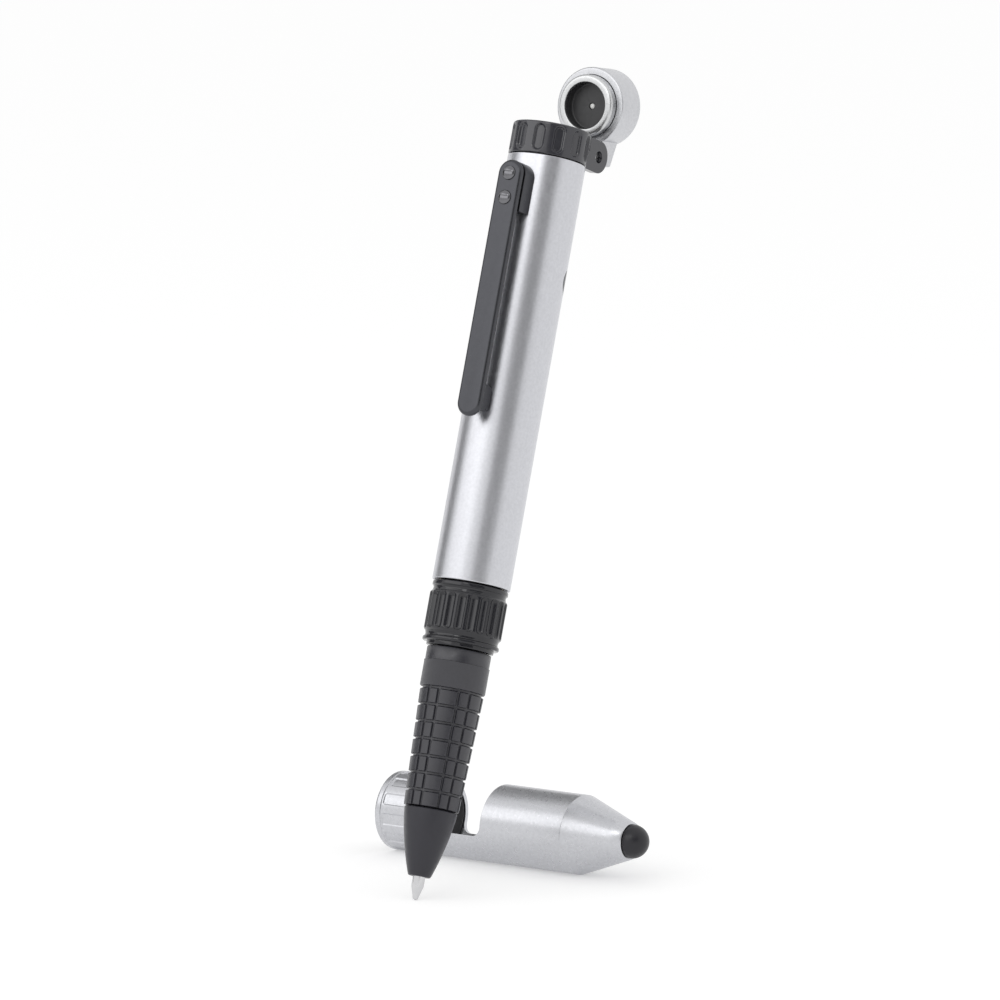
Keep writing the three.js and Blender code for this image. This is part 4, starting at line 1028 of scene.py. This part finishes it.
def make_ring():
    middles = spread(SLOT_COUNT)
    cut = [m for m in middles if abs(m - math.pi) > SLOT_FREE_ZONE]
    reach = (SLOT_WIDTH / 2 + SLOT_MARGIN) / RING_RADIUS
    angles = fine_angles(middles, reach, SLOT_STEPS, SLOT_LAND_STEPS)
    spigot = barrel_bore - FIT_GAP
    spigot_bore = CELL_RADIUS + FIT_GAP + RING_SPIGOT_SPACE
    spigot_bottom = ring_bottom - RING_SPIGOT_LENGTH
    socket = BEZEL_RADIUS + SOCKET_GAP
    stud_hole = STUD_RADIUS + FIT_GAP
    lower = [(spigot_bore, spigot_bottom), (spigot, spigot_bottom), (spigot, ring_bottom)]
    lower += [(RING_RADIUS - RING_CHAMFER, ring_bottom)]
    rings = rings_along(lower, angles)
    wall_low = ring_bottom + RING_CHAMFER
    wall_high = ring_top - RING_ROUNDING
    for height in np.linspace(wall_low, wall_high, int((wall_high - wall_low) / DETAIL_STEP)):
        depth = slotted(angles, height - pivot_level, cut, RING_RADIUS, ring_slot)
        rings.append(ring_at(RING_RADIUS - depth, height, angles))
    upper = corner((RING_RADIUS, ring_top), DOWN, IN, RING_ROUNDING)[1:]
    upper += [(socket + SOCKET_CHAMFER, ring_top), (socket, ring_top - SOCKET_CHAMFER)]
    upper += [(socket, socket_floor), (stud_hole, socket_floor), (stud_hole, web_bottom)]
    upper += [(spigot_bore, web_bottom)]
    rings += rings_along(upper, angles)
    thing = make("ring", loft(rings), PEN)
    combine(thing, [ear(-1), ear(1)], "UNION")
    outer = EAR_INNER + EAR_THICKNESS
    floor = ring_top - SOCKET_DEPTH + FIT_GAP
    path = box((-outer - FIT_GAP, 0, floor), (outer + FIT_GAP, RELIEF_REACH, ring_top + 1))
    between = box((-EAR_INNER, 0, floor), (EAR_INNER, PIVOT_REACH, ring_top + 1))
    pin_hole = along_hinge(rod(PIN_RADIUS + FIT_GAP, -2 * outer, 2 * outer))
    combine(thing, [path, between, pin_hole], "DIFFERENCE")
    finish_piece(thing, "ring", "top_ring", RING_BLACK, smooth=40)


def ear(side):
    radius = RING_HEIGHT / 2
    outline = [(EAR_ROOT, pivot_level - radius)]
    outline += arc((PIVOT_REACH, pivot_level), radius, -math.pi / 2, math.pi / 2, steps=32)
    outline += [(EAR_ROOT, pivot_level + radius)]
    points, faces = across(outline, EAR_THICKNESS)
    points = points + np.array([side * (EAR_INNER + EAR_THICKNESS / 2), 0, 0])
    return points, faces


def make_pin():
    half = EAR_INNER + EAR_THICKNESS - PIN_RECESS
    thing = make("pin", along_hinge(rod(PIN_RADIUS, -half, half, PIN_ROUNDING, PIN_STEPS)), PEN)
    finish_piece(thing, "ring", "hinge_pin", STEEL)


def make_stud():
    bottom = web_bottom - FIT_GAP - SPRING_WALL
    top = socket_floor + FIT_GAP
    thing = make("stud", rod(STUD_RADIUS, bottom, top, STUD_ROUNDING, PIN_STEPS), PEN)
    finish_piece(thing, "ring", "contact_stud", BRASS)


# Lamp head

def lug():
    top = pivot_level + RING_HEIGHT / 2 + LUG_SHOULDER
    nose_top = pivot_level + LUG_NOSE_RADIUS
    foot = (PIVOT_REACH + LUG_FOOT_REACH, ring_top - LUG_FOOT_DROP)
    outline = [(drum_front, top), (drum_front, nose_top)]
    centre = (PIVOT_REACH, pivot_level)
    outline += arc(centre, LUG_NOSE_RADIUS, math.pi / 2, 3 * math.pi / 2, steps=24)
    outline += [foot, (drum_back - DRUM_ROUNDING, top)]
    return across(outline, LUG_WIDTH)


def make_head():
    outline = corner((DRUM_RADIUS, drum_front), IN, UP, DRUM_ROUNDING)
    outline += corner((DRUM_RADIUS, drum_back), DOWN, IN, DRUM_ROUNDING)
    thing = make("head", along_drum(turned(outline, closed=False)), HEAD)
    block = make("lug", lug())
    round_edges(block, LUG_ROUNDING)
    points = np.array([v.co for v in block.data.vertices]) / MM
    faces = [tuple(p.vertices) for p in block.data.polygons]
    bpy.data.objects.remove(block)
    combine(thing, [(points, faces)], "UNION")
    cavity = along_drum(rod(drum_bore, drum_front - 1, drum_back - DRUM_BACK, steps=TURN_STEPS))
    pin_hole = along_hinge(rod(PIN_RADIUS + LUG_PIN_GAP, -LUG_WIDTH, LUG_WIDTH))
    combine(thing, [cavity, pin_hole], "DIFFERENCE")
    finish_piece(thing, "head", "head_shell", HEAD_SILVER, smooth=40)


def make_bezel():
    back = drum_front + BEZEL_SEATED
    cup_bore = CUP_RADIUS + FIT_GAP
    outline = corner((RECESS_RADIUS, bezel_front), UP, OUT, BEZEL_LIP_ROUNDING)
    outline += corner((BEZEL_RADIUS, bezel_front), IN, UP, BEZEL_ROUNDING)
    outline += [(BEZEL_RADIUS, back), (cup_bore, back), (cup_bore, bezel_front + BEZEL_LIP)]
    outline += [(RECESS_RADIUS, bezel_front + BEZEL_LIP)]
    thing = make("bezel", along_drum(turned(outline)), HEAD)
    finish_piece(thing, "head", "head_bezel", BEZEL_SILVER, smooth=40)


def make_cup():
    lens_hole = LENS_RADIUS + FIT_GAP
    front = bezel_front + BEZEL_LIP + FIT_GAP
    outline = [(RECESS_RADIUS, front), (CUP_RADIUS, front), (CUP_RADIUS, cup_floor_back)]
    outline += [(lens_hole, cup_floor_back), (lens_hole, cup_floor_front)]
    outline += corner((RECESS_RADIUS, cup_floor_front), IN, DOWN, CUP_ROUNDING)
    thing = make("cup", along_drum(turned(outline)), HEAD)
    finish_piece(thing, "head", "lamp_cup", CUP_BLACK)


def make_lens():
    front = cup_floor_back + FIT_GAP
    bulge = LENS_RADIUS / 2
    outline = dome(LENS_RADIUS, cup_floor_front + bulge, -bulge, steps=8)[::-1]
    outline += [(LENS_RADIUS, front), (LED_RADIUS, front), (LED_RADIUS, front + LED_LENGTH)]
    thing = make("lens", along_drum(turned(outline, PIN_STEPS, closed=False)), HEAD)
    finish_piece(thing, "head", "led", LENS_WHITE, smooth=60)


# Cap

def cap_profile(height):
    """Outer radius of the cap, with a soft edge where the cone starts."""
    past = height - cap_shoulder
    soft = CAP_SHOULDER_ROUNDING
    if past <= -soft:
        return CAP_RADIUS
    if past < soft:
        return CAP_RADIUS - cap_slope * (past + soft) ** 2 / (4 * soft)
    return CAP_RADIUS - cap_slope * past


def phone_slot():
    reach = 2 * CAP_RADIUS
    radius = PHONE_SLOT_ROUNDING
    low, high, floor = CAP_RING_LENGTH, phone_slot_end, PHONE_SLOT_FLOOR
    outline = arc((low + radius, floor + radius), radius, math.pi, 1.5 * math.pi, steps=12)
    outline += arc((high - radius, floor + radius), radius, -math.pi / 2, 0, steps=12)
    outline += [(high, reach), (low, reach)]
    lay = Matrix.Rotation(math.pi / 2, 4, "X") @ Matrix.Rotation(math.pi / 2, 4, "Z")
    return moved(extruded(outline, -reach, reach), lay)


def make_cap():
    middles = spread(SLOT_COUNT)
    reach = (CAP_SLOT_WIDTH / 2 + SLOT_MARGIN) / CAP_RADIUS
    angles = fine_angles(middles, reach, SLOT_STEPS, SLOT_LAND_STEPS)
    pocket = STYLUS_STEM_RADIUS + FIT_GAP
    core_hole = STYLUS_CORE_RADIUS + FIT_GAP
    pocket_bottom = cap_end - STYLUS_STEM_LENGTH - STACK_GAP
    cavity_end = pocket_bottom - STYLUS_FLANGE_THICKNESS
    mouth = [(cap_bore, 0)] + corner((CAP_RADIUS, 0), IN, UP, CAP_ROUNDING)
    rings = rings_along(mouth, angles)
    slot_top = CAP_RING_LENGTH - CAP_SLOTTED_INSET
    bend = 1.5 * CAP_SHOULDER_ROUNDING
    # Levels of the wall's rings: close together over the slots and the shoulder, apart elsewhere
    heights = list(np.linspace(CAP_ROUNDING + DETAIL_STEP, slot_top, int(slot_top / DETAIL_STEP)))
    heights += list(np.linspace(slot_top + 1, cap_shoulder - 1, 8))
    heights += list(np.linspace(cap_shoulder - bend, cap_shoulder + bend, 9))
    heights += list(np.linspace(cap_shoulder + 2, cap_end - CAP_END_CHAMFER_LENGTH, 5))
    for height in heights:
        depth = slotted(angles, height - CAP_RING_LENGTH / 2, middles, CAP_RADIUS, cap_slot)
        rim = groove(height - RIM_LENGTH, RIM_GROOVE_WIDTH / 2, RIM_GROOVE_WIDTH)
        depth += RIM_GROOVE_DEPTH * rim
        rings.append(ring_at(cap_profile(height) - depth, height, angles))
    bore_end = cap_bore - cap_slope * (cavity_end - cap_shoulder)
    inner = [(CAP_CONE_END_RADIUS - CAP_END_CHAMFER_DEPTH, cap_end)]
    inner += [(pocket, cap_end), (pocket, pocket_bottom)]
    inner += [(core_hole, pocket_bottom), (core_hole, cavity_end), (bore_end, cavity_end)]
    inner += [(cap_bore, cap_shoulder)]
    rings += rings_along(inner, angles)
    thing = make("cap_body", loft(rings), CAP)
    combine(thing, [phone_slot()], "DIFFERENCE")
    finish_piece(thing, "cap", "cap_shell", CAP_SILVER, smooth=40)


def make_liner():
    radius = cap_bore - FIT_GAP
    top = CAP_RING_LENGTH - LINER_INSET / 2
    thing = make("liner", tube(radius - LINER_WALL, radius, LINER_INSET, top, TURN_STEPS), CAP)
    finish_piece(thing, "cap", "cap_liner", INNER_BLACK)


def make_stylus():
    bore = STYLUS_CORE_RADIUS + FIT_GAP
    bore_end = cap_end + STYLUS_CORE_REACH + FIT_GAP
    stem_bottom = cap_end - STYLUS_STEM_LENGTH
    dome_bottom = cap_end + SEAT_GAP
    outline = [(NEAR_AXIS, bore_end), (bore, bore_end), (bore, stem_bottom)]
    outline += [(STYLUS_STEM_RADIUS, stem_bottom), (STYLUS_STEM_RADIUS, dome_bottom)]
    outline += dome(STYLUS_RADIUS, dome_bottom, STYLUS_RADIUS, steps=24)
    outline.append((NEAR_AXIS, dome_bottom + STYLUS_RADIUS))
    thing = make("stylus", turned(outline, MIDDLE_STEPS, closed=False), CAP)
    finish_piece(thing, "cap", "stylus_dome", STYLUS_BLACK, smooth=50)


# Inner pieces keep their solids and get a finish
INNER_FINISHES = {
    "refill_plug": INNER_BLACK,
    "grip_core": INNER_BLACK,
    "tact_switch": STEEL,
    "switch_board": BOARD_GREEN,
    "battery_carrier": INNER_BLACK,
    "battery_cell_1": STEEL,
    "battery_cell_2": STEEL,
    "battery_cell_3": STEEL,
    "battery_spring": STEEL,
    "led_board": BOARD_GREEN,
    "stylus_core": INNER_BLACK,
}


def paint_inner_pieces():
    for node, material in INNER_FINISHES.items():
        for slot in frame["nodes"][node].material_slots:
            slot.material = material


# Studio

def camera_axes():
    forward = Vector((
        -math.sin(CAMERA_AZIMUTH) * math.cos(CAMERA_DOWN),
        math.cos(CAMERA_AZIMUTH) * math.cos(CAMERA_DOWN),
        -math.sin(CAMERA_DOWN),
    ))
    right = Vector((math.cos(CAMERA_AZIMUTH), math.sin(CAMERA_AZIMUTH), 0))
    return forward, right


def make_camera():
    forward, _ = camera_axes()
    data = bpy.data.cameras.new("camera")
    data.lens = CAMERA_LENS
    data.sensor_width = CAMERA_SENSOR
    data.clip_start = CAMERA_NEAR
    data.clip_end = CAMERA_FAR
    camera = added("camera", data)
    camera.location = (Vector(CAMERA_TARGET) - forward * CAMERA_DISTANCE) * MM
    camera.rotation_euler = forward.to_track_quat("-Z", "Y").to_euler()
    bpy.context.scene.camera = camera


def stand_round(thing, azimuth, elevation, distance):
    """Stands a lamp or card round the object, facing it; azimuth is positive to the right."""
    forward, right = camera_axes()
    front = Vector((-forward.x, -forward.y, 0)).normalized()
    a, e = math.radians(azimuth), math.radians(elevation)
    level = front * math.cos(a) + right * math.sin(a)
    away = level * math.cos(e) + Vector((0, 0, math.sin(e)))
    thing.location = Vector(CAMERA_TARGET) * MM + away * distance
    aim = Vector(CAMERA_TARGET) * MM - thing.location
    thing.rotation_euler = aim.to_track_quat("-Z", "Y").to_euler()


def make_lamp(name, azimuth, elevation, distance, width, height, power):
    data = bpy.data.lights.new(name, "AREA")
    data.shape = "RECTANGLE"
    data.size = width
    data.size_y = height
    data.energy = power
    stand_round(added(name, data), azimuth, elevation, distance)


def sheet(width, height, level):
    """A flat sheet, for the floor and the cards."""
    x, y = width / 2, height / 2
    return np.array([(-x, -y, level), (x, -y, level), (x, y, level), (-x, y, level)]), [(0, 1, 2, 3)]


def make_card(name, azimuth, elevation, distance, width, height, shade):
    """A grey card beside the object that only gloss sees."""
    card = make(name, sheet(width / MM, height / MM, 0))
    stand_round(card, azimuth, elevation, distance)
    material = bpy.data.materials.new(name)
    material.use_nodes = True
    shader = material.node_tree.nodes["Principled BSDF"]
    fill(shader, {"Base Color": (shade, shade, shade, 1), "Roughness": 1})
    card.data.materials.append(material)
    card.visible_camera = False
    card.visible_diffuse = False
    card.visible_shadow = False
    card.visible_transmission = False


def seen_directly(tree):
    """1 for rays that show the background: from the camera, off gloss or through glass."""
    path = tree.nodes.new("ShaderNodeLightPath")
    seen = path.outputs["Is Camera Ray"]
    for kind in ("Is Glossy Ray", "Is Transmission Ray"):
        either = tree.nodes.new("ShaderNodeMath")
        either.operation = "MAXIMUM"
        tree.links.new(seen, either.inputs[0])
        tree.links.new(path.outputs[kind], either.inputs[1])
        seen = either.outputs[0]
    return seen


def mixed(tree, plain, bright):
    """A shader that mixes a plain one and a bright one, and its factor's socket."""
    mix = tree.nodes.new("ShaderNodeMixShader")
    tree.links.new(plain, mix.inputs[1])
    tree.links.new(bright, mix.inputs[2])
    return mix.outputs[0], mix.inputs["Fac"]


def show_background(tree, output, plain, bright):
    """The bright shader where the background is seen directly, and the plain one as light."""
    shader, factor = mixed(tree, plain, bright)
    tree.links.new(seen_directly(tree), factor)
    tree.links.new(shader, output.inputs["Surface"])


def make_floor():
    floor = make("floor", sheet(FLOOR_SIZE, FLOOR_SIZE, CAD_BOX[0][2] / MM))
    material = bpy.data.materials.new("floor")
    material.use_nodes = True
    tree = material.node_tree
    tree.nodes.clear()
    output = tree.nodes.new("ShaderNodeOutputMaterial")
    paper = tree.nodes.new("ShaderNodeBsdfDiffuse")
    fill(paper, {"Color": (FLOOR_SHADE, FLOOR_SHADE, FLOOR_SHADE, 1)})
    glow = tree.nodes.new("ShaderNodeEmission")
    fill(glow, {"Strength": FLOOR_GLOW})
    bright, share = mixed(tree, paper.outputs[0], glow.outputs[0])
    share.default_value = FLOOR_GLOW_SHARE
    show_background(tree, output, paper.outputs[0], bright)
    floor.data.materials.append(material)


def white_light(tree, strength):
    light = tree.nodes.new("ShaderNodeBackground")
    fill(light, {"Color": (1, 1, 1, 1), "Strength": strength})
    return light.outputs[0]


def make_world():
    world = bpy.data.worlds.new("world")
    bpy.context.scene.world = world
    world.use_nodes = True
    tree = world.node_tree
    tree.nodes.clear()
    output = tree.nodes.new("ShaderNodeOutputWorld")
    show_background(tree, output, white_light(tree, WORLD_LIGHT), white_light(tree, 1))


def make_studio():
    make_camera()
    make_floor()
    make_world()
    for name, values in LAMPS.items():
        make_lamp(name, *values)
    for name, values in CARDS.items():
        make_card(name, *values)
    bpy.context.scene.view_settings.view_transform = "Standard"


make_studio()
make_ball()
make_tip()
make_refill()
make_nose_cone()
make_sleeve()
make_collar()
make_barrel()
make_insert()
make_clip()
make_spacer()
for node, place in SCREW_PLACES.items():
    make_screw(node, place)
make_button()
make_ring()
make_pin()
make_stud()
make_head()
make_bezel()
make_cup()
make_lens()
make_cap()
make_liner()
make_stylus()
paint_inner_pieces()
